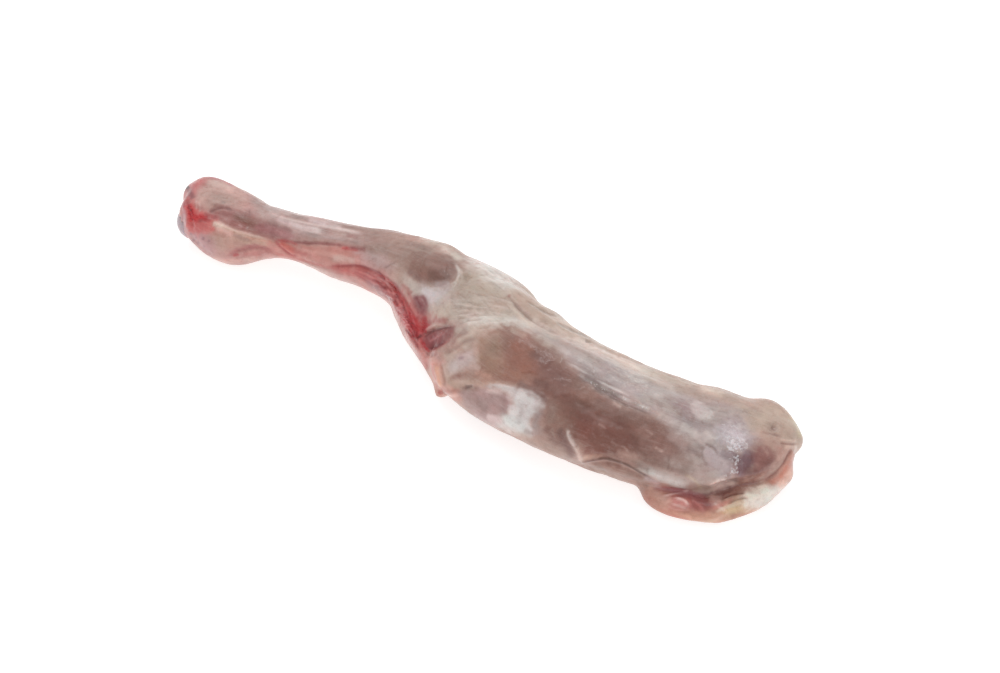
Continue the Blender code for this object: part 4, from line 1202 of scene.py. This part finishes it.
FLAP_LINES = {
    # Painted shade under the edge of the blade and of the tip.
    "painted shade under the blade": ((138, 96, 92), 0.7, 0.7, (690, 493), (706, 495), (720, 490), (742, 485),
        (762, 482)),
    "painted shade under the tip": ((136, 88, 78), 0.7, 0.8, (762, 482), (778, 471), (787, 459), (792, 447)),
    "white vein": ((226, 196, 190), 0.9, 0.5, (663, 496), (676, 493.5), (689, 490)),
    # Painted highlights on the pink lump and by the hollow.
    "painted highlight on the lump": ((230, 200, 194), 0.8, 0.7, (676, 499), (684, 501), (688, 505)),
    "second painted highlight on the lump": ((226, 194, 188), 0.7, 0.6, (672, 504), (679, 506), (686, 509)),
    "painted highlight by the hollow": ((228, 204, 196), 0.8, 0.8, (714, 503), (719, 507), (725, 511)),
    "dark red meat": ((142, 88, 86), 0.7, 2.0, (694, 498), (704, 502), (712, 505)),
    "pink streak": ((202, 140, 130), 0.7, 1.1, (712, 509), (722, 505), (734, 501)),
    "white streak": ((218, 198, 180), 0.7, 0.7, (716, 512), (728, 507), (744, 503)),
    "second white streak": ((222, 206, 188), 0.7, 0.6, (730, 504), (742, 499), (752, 496)),
    "first fold of the hollow": ((134, 94, 86), 0.6, 0.5, (722, 500), (734, 496), (746, 494)),
    "second fold of the hollow": ((150, 112, 98), 0.6, 0.5, (728, 504), (738, 500), (750, 497)),
    "light fold of the hollow": ((214, 184, 168), 0.6, 0.5, (724, 502), (736, 498), (748, 495.5)),
    "red lower edge": ((190, 126, 114), 0.6, 1.2, (660, 508), (672, 516), (690, 520)),
    "pale lower rim of the flap": ((222, 190, 172), 0.6, 1.0, (676, 520), (696, 524), (716, 520),
        (730, 512)),
    "pink streak of the red meat": ((196, 130, 124), 0.6, 0.7, (692, 500), (700, 506), (704, 512)),
    "salmon edge": ((196, 130, 112), 0.7, 1.4, (770, 484), (780, 477), (788, 464)),
    # A painted highlight along the salmon edge.
    "painted highlight of the salmon edge": ((214, 170, 156), 0.6, 0.6, (778, 474), (786, 464), (791, 454)),
}
colour_lines(FLAP_LINES)
coat("blood", [(0.3, 1.8, (692, 497), (702, 502), (712, 506))])
coat("film", [(0.0, 5, (660, 500), (710, 505)), (0.3, 3, (752, 498), (774, 488))])
coat("wet", [(1.0, 6, (660, 498), (720, 500), (780, 480))])

# %% [markdown]
# ### Going over the joins
#
# A broad area always runs a little over its neighbours. Last, the places where two of them meet get their
# own colour back: the muscle under the ridge, the pocket of the elbow, and the edges of the hollow. A few
# get painted light or shade instead: light on the lip over the hollow, a highlight in the pocket, and shade
# by the notch and deep under the front lip.

# %% Colours where areas meet
JOIN_AREAS = {
    "upper muscle": ((146, 108, 96), 0.8, 2.5, (500, 330), (514, 326), (528, 334), (540, 339), (550, 349),
        (562, 358), (571, 369), (578, 378), (590, 390), (598, 396), (590, 402), (570, 392), (540, 378),
        (520, 372), (506, 356)),
    "deep brown": ((114, 74, 66), 0.7, 4, (536, 350), (552, 355), (566, 369), (574, 384), (560, 388),
        (545, 378), (534, 366)),
    "orange heart again": ((144, 86, 64), 0.6, 4, (512, 342), (526, 346), (537, 356), (534, 369),
        (518, 372), (508, 360)),
    # The muscle round the painted glints.
    "muscle by the painted glints": ((122, 78, 68), 0.6, 5, (580, 408), (604, 416), (628, 428), (634, 446),
        (612, 454), (588, 452), (572, 436)),
    "bright dome": ((226, 218, 213), 0.7, 3, (466, 262), (482, 259), (502, 266), (516, 277), (508, 283),
        (488, 275)),
    "clot bed": ((138, 78, 82), 0.75, 1.2, (413, 298), (419, 295), (426, 298), (429, 307), (424, 315),
        (417, 311)),
    "pocket bed": ((138, 74, 76), 0.85, 1.3, (423, 342), (430, 333), (440, 328), (453, 325), (454, 335),
        (444, 345), (430, 351)),
    # Painted light on the lip over the hollow, where it lies in shade.
    "painted light on the lip over the hollow": ((234, 214, 206), 0.85, 1.6, (712, 484), (719, 479), (732, 478), (736, 483),
        (725, 488), (714, 491)),
    "left of the flap": ((202, 166, 152), 0.8, 2.5, (648, 490), (660, 492), (670, 500), (668, 508),
        (656, 502)),
    "fat by the hollow": ((242, 228, 214), 0.85, 2, (744, 494), (752, 488), (764, 484), (766, 490),
        (756, 498), (746, 500)),
    "bright end of the flap": ((228, 196, 182), 0.8, 1.6, (776, 482), (786, 476), (794, 466), (797, 470),
        (790, 482), (780, 487)),
    "back of the neck": ((168, 148, 134), 0.6, 2.5, (457, 284), (470, 273), (480, 284), (496, 292),
        (512, 297), (508, 305), (490, 304), (470, 304), (458, 298)),
    "dark of the bruise": ((118, 80, 74), 0.65, 3, (744, 468), (756, 466), (770, 458), (776, 462),
        (764, 474), (750, 480)),
}
colour_areas(JOIN_AREAS)
JOIN_LINES = {
    "over the white patch": ((126, 94, 86), 0.9, 2, (516, 384), (525, 387), (534, 390), (541, 395),
        (547, 402)),
    "edge of the white patch": ((158, 140, 136), 0.8, 1.2, (523, 390), (531, 394), (539, 400)),
    "foot of the white patch": ((164, 146, 142), 0.6, 1.4, (524, 430), (531, 433), (538, 431)),
    "beside the white patch": ((160, 144, 140), 0.55, 2.4, (541, 407), (538, 415), (537, 425), (538, 436)),
    "brown under the ridge": ((116, 72, 60), 0.7, 2.6, (530, 351), (540, 359), (550, 367)),
    "beside the ridge": ((140, 112, 102), 0.7, 2, (548, 348), (558, 357), (568, 368)),
    "grey under the ridge": ((136, 118, 110), 0.6, 1.6, (596, 390), (606, 393), (616, 399)),
    "white streak of the shank": ((218, 202, 200), 0.8, 1.4, (288, 223), (298, 226), (310, 229),
        (322, 231)),
    "light of the roll": ((212, 196, 186), 0.7, 1.8, (552, 327), (560, 332), (572, 340)),
    "light of the border": ((230, 218, 208), 0.75, 2, (612, 357), (625, 362), (640, 369), (652, 374)),
    "dark rim of the knuckle": ((140, 88, 90), 0.8, 1.8, (186, 189), (190, 193), (193, 199)),
    "bright plate of the blade": ((204, 190, 186), 0.7, 1.8, (693, 433), (700, 438), (707, 442)),
    "veil of the blade": ((180, 158, 152), 0.7, 2.4, (668, 433), (679, 441), (688, 449)),
    "rose over the crease": ((204, 146, 144), 0.5, 1.5, (370, 272), (380, 277), (390, 284)),
    "pale by the blood": ((206, 148, 148), 0.8, 1.3, (396, 307), (403, 316), (408, 326)),
    "rose over the pocket": ((160, 102, 98), 0.7, 1.6, (426, 323), (436, 321), (448, 321)),
    "line in the pocket": ((104, 44, 48), 0.7, 0.6, (424, 338), (432, 332), (442, 329), (452, 327)),
    "second line in the pocket": ((112, 52, 54), 0.7, 0.6, (428, 349), (438, 345), (446, 339), (452, 332)),
    # A painted highlight in the pocket.
    "painted highlight in the pocket": ((186, 128, 128), 0.5, 0.6, (430, 342), (438, 338), (446, 333)),
    "pale lower facet again": ((222, 206, 204), 0.7, 1.6, (486, 416), (495, 419), (503, 422)),
    # Painted shadow by the notch.
    "painted shadow by the notch": ((134, 100, 88), 0.45, 1.4, (464, 388), (472, 388), (480, 389)),
    "light under the arm": ((210, 190, 186), 0.7, 1.2, (486, 391), (494, 391), (502, 392)),
    "tan of the neck": ((164, 146, 134), 0.6, 2.2, (450, 296), (462, 297), (474, 298)),
    "second tan of the neck": ((168, 152, 141), 0.55, 2.2, (476, 308), (486, 310), (496, 312)),
    "pale in the hollow": ((226, 192, 184), 0.75, 1.8, (709, 498), (716, 500), (722, 500)),
    "light over the lip": ((188, 156, 146), 0.7, 1.6, (616, 452), (626, 455), (638, 459)),
    "brown before the strip": ((144, 114, 104), 0.6, 1.2, (634, 463), (642, 466), (650, 470)),
    "lilac under the strip": ((188, 168, 168), 0.7, 1.4, (644, 477), (651, 480), (660, 484)),
    "light by the cream tendon": ((188, 142, 142), 0.7, 1.8, (266, 227), (274, 230), (286, 235),
        (295, 238)),
    "shade of the veil": ((138, 114, 110), 0.6, 1.8, (686, 448), (694, 451), (702, 456)),
    "shade below the frost": ((136, 116, 118), 0.6, 1.8, (720, 453), (728, 456), (739, 460)),
    "white of the roll": ((226, 212, 204), 0.7, 1.8, (572, 338), (590, 346), (606, 352)),
    "white of the film": ((216, 206, 200), 0.7, 2, (626, 373), (637, 378), (648, 385)),
    "second white of the film": ((206, 194, 190), 0.7, 1.8, (642, 388), (652, 393), (664, 398)),
    "brown of the corner": ((150, 110, 98), 0.7, 1.2, (449, 379), (455, 377), (462, 374)),
    "pink of the corner": ((160, 110, 104), 0.7, 1.4, (426, 352), (432, 354), (438, 354)),
    "white by the corner": ((200, 178, 170), 0.7, 1.8, (468, 364), (474, 367), (480, 370)),
    "shade of the plate": ((156, 116, 112), 0.6, 1.6, (244, 212), (251, 213), (258, 216)),
    "rose under the plate": ((156, 82, 82), 0.7, 1.4, (204, 214), (210, 216), (218, 218)),
    "rose of the groove": ((146, 80, 72), 0.75, 1.8, (229, 222), (238, 224), (247, 227)),
    "rose by the membrane": ((144, 94, 92), 0.7, 1.2, (349, 247), (357, 248), (366, 250)),
    "silver of the shank": ((218, 202, 202), 0.6, 1.2, (308, 220), (317, 222), (328, 225)),
    "second silver of the shank": ((214, 190, 189), 0.6, 1.4, (276, 219), (284, 222), (292, 225)),
    "cream over the belly": ((218, 203, 193), 0.7, 1.6, (441, 247), (450, 252), (460, 260)),
    "end of the pocket": ((150, 112, 106), 0.6, 1.4, (452, 336), (455, 341), (450, 347)),
    "under the pocket": ((154, 116, 108), 0.6, 1.4, (436, 351), (443, 350), (450, 346)),
    "rose by the clots": ((166, 110, 104), 0.7, 1.3, (401, 284), (407, 289), (412, 294)),
    "light by the clots": ((198, 132, 128), 0.5, 1, (411, 306), (414, 311), (417, 317)),
    "mauve of the elbow": ((158, 104, 108), 0.6, 1.4, (366, 281), (374, 286), (386, 294), (392, 300)),
    "light over the red crease": ((196, 162, 158), 0.5, 1.4, (360, 262), (367, 264), (376, 268)),
    "foot of the belly": ((126, 92, 86), 0.6, 1.8, (408, 270), (414, 275), (422, 280)),
    "grey line again": ((126, 106, 100), 0.6, 1.8, (584, 376), (594, 382), (606, 392), (622, 399)),
    "light of the far border": ((218, 204, 196), 0.6, 1.8, (650, 376), (661, 382), (674, 388)),
    "light before the oval": ((194, 182, 176), 0.6, 1.8, (662, 406), (671, 410), (680, 414)),
    "light below the oval": ((204, 192, 188), 0.6, 1.8, (680, 426), (689, 431), (697, 434)),
    "light of the crack": ((214, 202, 198), 0.6, 1.6, (704, 431), (710, 436), (716, 440)),
    "brown beside the tag": ((132, 96, 86), 0.6, 2, (544, 426), (552, 434), (560, 444)),
    "brown over the lip": ((136, 86, 74), 0.6, 2, (584, 450), (594, 452), (604, 452)),
    "light under the muscle": ((194, 158, 144), 0.6, 1.6, (474, 372), (482, 374), (492, 378)),
    "tan under the fan": ((184, 166, 154), 0.5, 1.8, (486, 314), (496, 316), (506, 318)),
    "mauve before the red": ((160, 90, 92), 0.6, 1.2, (185, 196), (187, 200), (188, 206)),
    "mauve under the plate": ((168, 112, 106), 0.6, 1.2, (194, 203), (198, 207), (202, 210)),
    "mauve of the groove": ((146, 96, 92), 0.5, 1.2, (214, 207), (222, 206), (230, 207)),
    "cream of the tendon": ((218, 180, 170), 0.7, 1.4, (216, 228), (224, 231), (234, 235)),
    "light of the tip fold": ((216, 190, 176), 0.6, 1.2, (784, 447), (791, 447), (797, 448)),
    "edge of the hollow": ((138, 110, 106), 0.6, 1.4, (726, 476), (732, 479), (738, 480)),
    "edge of the bruise": ((122, 96, 100), 0.5, 1.6, (734, 456), (738, 461), (738, 468)),
    "lilac under the belly": ((196, 180, 180), 0.6, 1.6, (434, 285), (442, 284), (450, 283)),
    "cream by the tip": ((224, 206, 192), 0.6, 1.8, (700, 388), (712, 391), (724, 395)),
    "light behind the tendon": ((182, 132, 132), 0.6, 1.4, (254, 226), (262, 229), (270, 231)),
    "third silver of the shank": ((214, 196, 194), 0.6, 1.2, (322, 223), (331, 225), (342, 228)),
    "light over the muscle": ((192, 166, 152), 0.6, 1.4, (510, 329), (519, 332), (526, 337)),
    "light end of the pocket": ((176, 136, 130), 0.5, 1, (444, 341), (449, 337), (452, 332)),
    "foot of the lump": ((174, 126, 116), 0.5, 1.3, (671, 507), (679, 508), (687, 510)),
    "light of the neck edge": ((212, 196, 186), 0.6, 1.4, (532, 319), (541, 325), (550, 330)),
    "rose of the neck": ((150, 118, 110), 0.6, 1.3, (454, 338), (460, 335), (468, 331)),
    "rose under the red crease": ((158, 108, 106), 0.5, 1.2, (370, 287), (377, 290), (384, 297)),
    "brown over the patch": ((110, 68, 58), 0.6, 2, (532, 381), (541, 384), (550, 388)),
    "fourth silver of the shank": ((216, 194, 190), 0.6, 1.3, (268, 212), (276, 215), (284, 218)),
    "white after the notch": ((226, 214, 206), 0.6, 1.5, (602, 351), (610, 355), (618, 358)),
    "clearest fat": ((250, 240, 228), 0.6, 1.6, (752, 496), (760, 493), (768, 489)),
    "salmon under the tip": ((168, 124, 106), 0.5, 1, (758, 484), (765, 483), (771, 480)),
    "rosy corner": ((176, 116, 110), 0.5, 1.2, (440, 388), (445, 391), (450, 392)),
    # Brown muscle by a painted glint.
    "brown by the painted glint": ((130, 96, 86), 0.5, 1.6, (642, 430), (649, 433), (656, 438)),
    # Painted shade deep under the front lip.
    "painted shade deep under the lip": ((126, 84, 72), 0.5, 1.4, (604, 464), (613, 464), (622, 467)),
    "deep red of the cut": ((150, 60, 62), 0.6, 1.2, (198, 220), (205, 220), (211, 220)),
    "rose of the slip": ((170, 94, 90), 0.6, 1.2, (292, 251), (300, 253), (308, 255)),
    "light before the muscle": ((198, 170, 158), 0.5, 1.4, (476, 346), (477, 354), (478, 362)),
    "pink under the blade": ((182, 128, 130), 0.8, 1.4, (668, 489), (680, 492), (692, 495), (706, 498)),
}
colour_lines(JOIN_LINES)
coat("film", [(0.0, 3, (534, 346), (548, 357), (564, 372))])

# %% [markdown]
# ## Blending the paint into the skin
#
# Raw meat is never one flat colour. The mottling and the strands along the grain lighten and darken what
# was painted, and creases get painted shade, darker and redder than what stands round them. The light of a
# bright room washes paint out, so its contrast is raised a little first. The result is kept on the skin's
# points, where a material can read it.

# %% Store the paint on the skin
FLESH_WARMTH = (1.005, 0.948, 0.933)
CONTRAST = 1.14
MIDDLE_TONE = tint(178, 148, 141)
BROAD_SHADE, MOTTLE_SHADE, FINE_SHADE = 0.06, 0.08, 0.06
FLUSH = np.array([0.03, -0.03, -0.02])
PAINTED_CREASE_SHADE = np.array([0.10, 0.18, 0.18])
CREASE_SHADE_DEPTH = 1.8
tone = MIDDLE_TONE * (tone / MIDDLE_TONE) ** CONTRAST
bare = 1 - coats["film"]
shade = 1 + BROAD_SHADE * broad + MOTTLE_SHADE * mottle + FINE_SHADE * fine + (0.03 - 0.02 * bare) * strands
flush = FLUSH * cloud(points, 8 * MM, 61)[:, None]
# Painted shade: the deeper a crease is pressed, the darker and redder it is painted.
hollow = np.clip(-lift / CREASE_SHADE_DEPTH, 0, 1)[:, None]
tone = tone * (shade[:, None] + flush) * (1 - hollow * PAINTED_CREASE_SHADE)
tone = np.clip(tone * FLESH_WARMTH, 0.01, 0.9)


def keep(mesh, name, values):
    """Stores a value, a colour or a vector for each point of the mesh, for a material to read."""
    kind, part = ("FLOAT", "value") if values.ndim == 1 else ("FLOAT_VECTOR", "vector")
    kept = mesh.attributes.new(name, kind, "POINT")
    kept.data.foreach_set(part, values.astype(np.float32).ravel())


keep(skin, "tone", tone)
keep(skin, "grain", grain)
for name, values in coats.items():
    keep(skin, name, np.clip(values, 0, 1))
print("painted", len(tone), "points, mean colour", [round(float(c), 3) for c in tone.mean(axis=0)])

# %% [markdown]
# ## The meat's material
#
# A painted colour alone looks like clay. Raw meat lets light in a little, shines where it is wet, and has
# fibres, fascia and blotches too fine for the mesh. All of that could be painted too, on a much finer
# mesh. A material with noises does it with a light mesh, and in fine detail.
#
# Building a material in Python takes many lines, so short calls for its nodes come first.

# %% Short calls for nodes
def colour(red, green, blue):
    return (*tint(red, green, blue), 1.0)


class Nodes:
    """Short calls for building a material's nodes."""

    def __init__(self, material):
        material.use_nodes = True
        self.tree = material.node_tree
        self.shader = self.tree.nodes["Principled BSDF"]

    def feed(self, socket, value):
        if isinstance(value, bpy.types.NodeSocket):
            self.tree.links.new(value, socket)
        else:
            socket.default_value = value

    def add(self, kind, **inputs):
        node = self.tree.nodes.new(kind)
        for name, value in inputs.items():
            self.feed(node.inputs[name], value)
        return node

    def read(self, name, output="Fac"):
        node = self.tree.nodes.new("ShaderNodeAttribute")
        node.attribute_name = name
        return node.outputs[output]

    def maths(self, operation, first, second=0.0):
        node = self.tree.nodes.new("ShaderNodeMath")
        node.operation = operation
        self.feed(node.inputs[0], first)
        self.feed(node.inputs[1], second)
        return node.outputs["Value"]

    def stretched(self, vector, scale):
        node = self.tree.nodes.new("ShaderNodeVectorMath")
        node.operation = "MULTIPLY"
        self.feed(node.inputs[0], vector)
        node.inputs[1].default_value = scale
        return node.outputs["Vector"]

    def noise(self, vector, scale, detail=3.0, roughness=0.55):
        inputs = {"Vector": vector, "Scale": scale, "Detail": detail, "Roughness": roughness}
        return self.add("ShaderNodeTexNoise", **inputs).outputs["Fac"]

    def span(self, value, low, high, to_low=0.0, to_high=1.0):
        node = self.tree.nodes.new("ShaderNodeMapRange")
        for socket, number in zip(node.inputs, (value, low, high, to_low, to_high)):
            self.feed(socket, number)
        return node.outputs["Result"]

    def mix(self, share, first, second, blend="MIX"):
        node = self.tree.nodes.new("ShaderNodeMix")
        node.data_type = "RGBA"
        node.blend_type = blend
        sockets = [socket for socket in node.inputs if socket.enabled]
        for socket, value in zip(sockets, (share, first, second)):
            self.feed(socket, value)
        return next(socket for socket in node.outputs if socket.enabled)


print("nodes can be added in one line each")

# %% [markdown]
# ### The patterns
#
# Noise stretched along the grain gives the fibres and the threads of fascia. Even noises give the specks
# and blotches of flesh, and a cell pattern gives the crazing of dried film.

# %% Patterns of the meat
FIBRE_STRETCH = (40.0, 480.0, 480.0)
THREAD_STRETCH = (90.0, 1100.0, 1100.0)
BLOOD_STRETCH = (480.0, 1000.0, 1000.0)
DRIFT_SCALE = 70.0
SPECK_SCALE = 1500.0
TANGLE_SCALE = 480.0
BLOTCH_SCALE = 330.0
CRAZING_SCALE = 560.0
meat_material = bpy.data.materials.new("raw_kid_meat")
made = Nodes(meat_material)
grain_out = made.read("grain", "Vector")
film_out, wet_out = made.read("film"), made.read("wet")
blood_out, frost_out = made.read("blood"), made.read("frost")
place = made.add("ShaderNodeTexCoord").outputs["Object"]
fibres = made.noise(made.stretched(grain_out, FIBRE_STRETCH), 1.0, 4.0, 0.6)
threads = made.noise(made.stretched(grain_out, THREAD_STRETCH), 1.0, 3.0, 0.6)
drift = made.noise(place, DRIFT_SCALE, 3.0)
specks_out = made.noise(place, SPECK_SCALE, 2.0)
tangle = made.noise(place, TANGLE_SCALE, 4.0, 0.75)
blotches = made.noise(place, BLOTCH_SCALE, 5.0, 0.65)
crazing = made.add("ShaderNodeTexVoronoi", Vector=place, Scale=CRAZING_SCALE)
crazing.feature = "DISTANCE_TO_EDGE"
clots = made.noise(made.stretched(grain_out, BLOOD_STRETCH), 1.0, 4.0, 0.65)
print("the material has", len(made.tree.nodes), "nodes so far")

# %% [markdown]
# ### Fibres, blotches and film
#
# Fibres and blotches darken the paint, and threads of fascia whiten it. They are drawn fully where film
# lies on the meat, and faintly on bare muscle, which is smoother.

# %% Fibres, blotches and film
drawn = made.span(film_out, 0.0, 0.5, 0.25, 1.0)
fibre_share = made.maths("MULTIPLY", made.span(fibres, 0.38, 0.70, 0.0, 0.26), drawn)
tone_out = made.mix(fibre_share, made.read("tone", "Vector"), colour(206, 186, 184), "MULTIPLY")
blotchy = made.span(blotches, 0.52, 0.75, 0.0, 0.5)
tone_out = made.mix(blotchy, tone_out, colour(208, 186, 180), "MULTIPLY")
veiled = made.maths("MULTIPLY", made.span(blotches, 0.28, 0.46, 0.20, 0.0), drawn)
tone_out = made.mix(veiled, tone_out, colour(212, 194, 188))
speckled = made.span(specks_out, 0.45, 0.75, 0.0, 0.25)
tone_out = made.mix(speckled, tone_out, colour(214, 190, 184), "MULTIPLY")
patchy = made.maths("MULTIPLY", film_out, made.span(drift, 0.38, 0.62, 0.25, 1.0))
thread_share = made.maths("MULTIPLY", patchy, made.span(threads, 0.50, 0.72, 0.0, 0.45))
tone_out = made.mix(thread_share, tone_out, colour(218, 208, 202))
print("the material has", len(made.tree.nodes), "nodes so far")

# %% [markdown]
# ### Frost and blood
#
# Frosty flakes and blood were painted softly. Here a fine noise breaks them up, so that their edges are
# crisper than the mesh: white rims and crumbs with grey between them, and clots from clear to dark red.

# %% Frost and blood
flaky = made.maths("ADD", frost_out, made.span(tangle, 0.30, 0.70, -0.5, 0.5))
iced = made.span(frost_out, 0.0, 0.15)
between = made.maths("MULTIPLY", made.span(flaky, 0.15, 0.42, 0.35, 0.0), iced)
tone_out = made.mix(between, tone_out, colour(150, 130, 134))
rims = made.span(crazing.outputs["Distance"], 0.03, 0.16, 1.0, 0.0)
rims = made.maths("MULTIPLY", rims, made.span(flaky, 0.55, 0.75))
flakes = made.maths("MAXIMUM", rims, made.span(flaky, 0.78, 0.98))
flake_share = made.maths("MULTIPLY", made.maths("MULTIPLY", flakes, iced), 0.68)
tone_out = made.mix(flake_share, tone_out, colour(232, 226, 229))

soaked = made.maths("ADD", blood_out, made.span(clots, 0.30, 0.70, -0.45, 0.45))
blood_share = made.span(soaked, 0.42, 0.90, 0.0, 0.85)
blood_share = made.maths("MULTIPLY", blood_share, made.span(blood_out, 0.0, 0.2))
blood_colour = made.mix(made.span(soaked, 0.70, 1.20), colour(182, 38, 44), colour(108, 18, 26))
tone_out = made.mix(blood_share, tone_out, blood_colour)
made.feed(made.shader.inputs["Base Color"], tone_out)
print("the material has", len(made.tree.nodes), "nodes so far")

# %% [markdown]
# ### Shine and bump
#
# Wet meat is smooth and dry film is dull, so the wetness sets the roughness. The same noises that colour
# the meat raise it a little as bump, and a thin clear coat and a little scattering make it moist.

# %% Shine and bump
dry = made.span(wet_out, 0.0, 1.0, 0.52, 0.24)
uneven_shine = made.span(drift, 0.3, 0.7, -0.07, 0.08)
dull_flakes = made.span(flake_share, 0.0, 1.0, 0.0, 0.2)
roughness = made.maths("ADD", dry, made.maths("ADD", uneven_shine, dull_flakes))
made.feed(made.shader.inputs["Roughness"], roughness)
bumps = (
    (made.maths("MULTIPLY", fibres, drawn), 0.6),
    (thread_share, 0.8),
    (specks_out, 0.22),
    (made.maths("MULTIPLY", blotches, drawn), 0.8),
    (flake_share, 0.7),
    (made.maths("MULTIPLY", clots, blood_out), 1.6),
)
height_out = 0.0
for pattern, strength in bumps:
    height_out = made.maths("ADD", height_out, made.maths("MULTIPLY", pattern, strength))
bump = made.add("ShaderNodeBump", Strength=0.5, Distance=0.4 * MM, Height=height_out)
made.feed(made.shader.inputs["Normal"], bump.outputs["Normal"])
MEAT_CONSTANTS = {
    "IOR": 1.38,
    "Subsurface Weight": 0.15,
    "Subsurface Radius": (1.0, 0.45, 0.35),
    "Subsurface Scale": 1.2 * MM,
    "Coat Weight": 0.3,
    "Coat Roughness": 0.14,
}
for name, value in MEAT_CONSTANTS.items():
    made.shader.inputs[name].default_value = value
meat.data.materials.clear()
meat.data.materials.append(meat_material)
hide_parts("shoulder")
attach(meat, "root")
print("the meat has its material, with", len(made.tree.nodes), "nodes")

# %% [markdown]
# ## The end of the leg bone
#
# The joint's end is capped with cartilage: smooth, glossy and grey lilac, stained red where it meets the
# meat. It is small, so a subdivided copy of its solid is fine enough, and its stain is painted like the
# meat's.

# %% Bone end
bone = rounded_copy("leg_bone_end", "bone_end", 2)
bone_mesh = evaluated(bone, "bone_end")
bone.modifiers.clear()
bone.data = bone_mesh
bone_points = coordinates(bone_mesh)
bone_pixels, _, _ = in_picture(bone_points)
uneven = cloud(bone_points, 3 * MM, 71)
SLIVER_EDGE = 185.0
stain = np.clip((bone_pixels[:, 0] + 0.9 * uneven - SLIVER_EDGE) / 3.0, 0, 1)[:, None]
bone_tone = tint(172, 146, 150) * (1 - stain) + tint(182, 92, 92) * stain
keep(bone_mesh, "tone", np.clip(bone_tone * (1 + 0.06 * uneven[:, None]), 0, 0.9))
bone_mesh.shade_smooth()
CARTILAGE_CONSTANTS = {
    "Subsurface Weight": 0.2,
    "Subsurface Scale": 1.5 * MM,
    "Coat Weight": 0.4,
    "Coat Roughness": 0.15,
}


def cartilage_material():
    material = bpy.data.materials.new("joint_cartilage")
    made = Nodes(material)
    place = made.add("ShaderNodeTexCoord").outputs["Object"]
    clouds = made.noise(place, 260.0, 3.0)
    cloudy = made.span(clouds, 0.35, 0.7, 0.0, 0.3)
    clouded = made.mix(cloudy, made.read("tone", "Vector"), colour(160, 140, 156))
    made.feed(made.shader.inputs["Base Color"], clouded)
    made.feed(made.shader.inputs["Roughness"], made.span(clouds, 0.3, 0.7, 0.22, 0.36))
    bump = made.add("ShaderNodeBump", Strength=0.2, Distance=0.2 * MM, Height=made.noise(place, 700.0))
    made.feed(made.shader.inputs["Normal"], bump.outputs["Normal"])
    for name, value in CARTILAGE_CONSTANTS.items():
        made.shader.inputs[name].default_value = value
    return material


bone.data.materials.clear()
bone.data.materials.append(cartilage_material())
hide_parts("leg_bone_end")
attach(bone, "root")
print("the bone end has", len(bone_points), "points")

# %% [markdown]
# ## Floor and light
#
# The picture is a cut-out on white, lit softly from above and behind, and its lower edges are light too,
# as over a lit table. A white floor alone would lie in the shade of the meat there. One that glows a
# little keeps those edges light.

# %% Floor
FLOOR_SIZE = 6.0
FLOOR_GLOW = 0.75
floor_form = bmesh.new()
bmesh.ops.create_grid(floor_form, x_segments=1, y_segments=1, size=FLOOR_SIZE / 2)
floor_mesh = bpy.data.meshes.new("floor")
floor_form.to_mesh(floor_mesh)
floor_form.free()
floor = bpy.data.objects.new("floor", floor_mesh)
bpy.context.scene.collection.objects.link(floor)
floor_material = bpy.data.materials.new("pale_floor")
floor_nodes = Nodes(floor_material)
floor_nodes.shader.inputs["Base Color"].default_value = (0.5, 0.5, 0.5, 1.0)
floor_nodes.shader.inputs["Roughness"].default_value = 0.8
floor_nodes.shader.inputs["Emission Color"].default_value = (1.0, 1.0, 1.0, 1.0)
floor_nodes.shader.inputs["Emission Strength"].default_value = FLOOR_GLOW
floor.data.materials.append(floor_material)
print("the floor glows at", FLOOR_GLOW)

# %% [markdown]
# A pale sky and two large soft lamps come close to the picture's light, with only a faint shadow under
# the meat. A third, small lamp puts the glints on what is wet.

# %% Light
SKY_LIGHT = 0.64
world = bpy.data.worlds.new("studio")
world.use_nodes = True
world.node_tree.nodes["Background"].inputs["Color"].default_value = (1.0, 1.0, 1.0, 1.0)
world.node_tree.nodes["Background"].inputs["Strength"].default_value = SKY_LIGHT
bpy.context.scene.world = world
bpy.context.scene.view_settings.view_transform = "Standard"


def lamp(name, place, size, power):
    """A square soft lamp that points at the cut."""
    light = bpy.data.lights.new(name, "AREA")
    light.size = size
    light.energy = power
    made = bpy.data.objects.new(name, light)
    made.location = place
    made.rotation_euler = Vector(place).to_track_quat("Z", "Y").to_euler()
    bpy.context.scene.collection.objects.link(made)
    return made


lamp("key", (-0.45, 0.50, 1.35), 1.5, 9.4)
lamp("fill", (0.9, -0.9, 0.9), 1.2, 2.3)
lamp("glint", (-0.25, 0.42, 1.30), 0.16, 0.6)
print("three lamps and a pale sky")
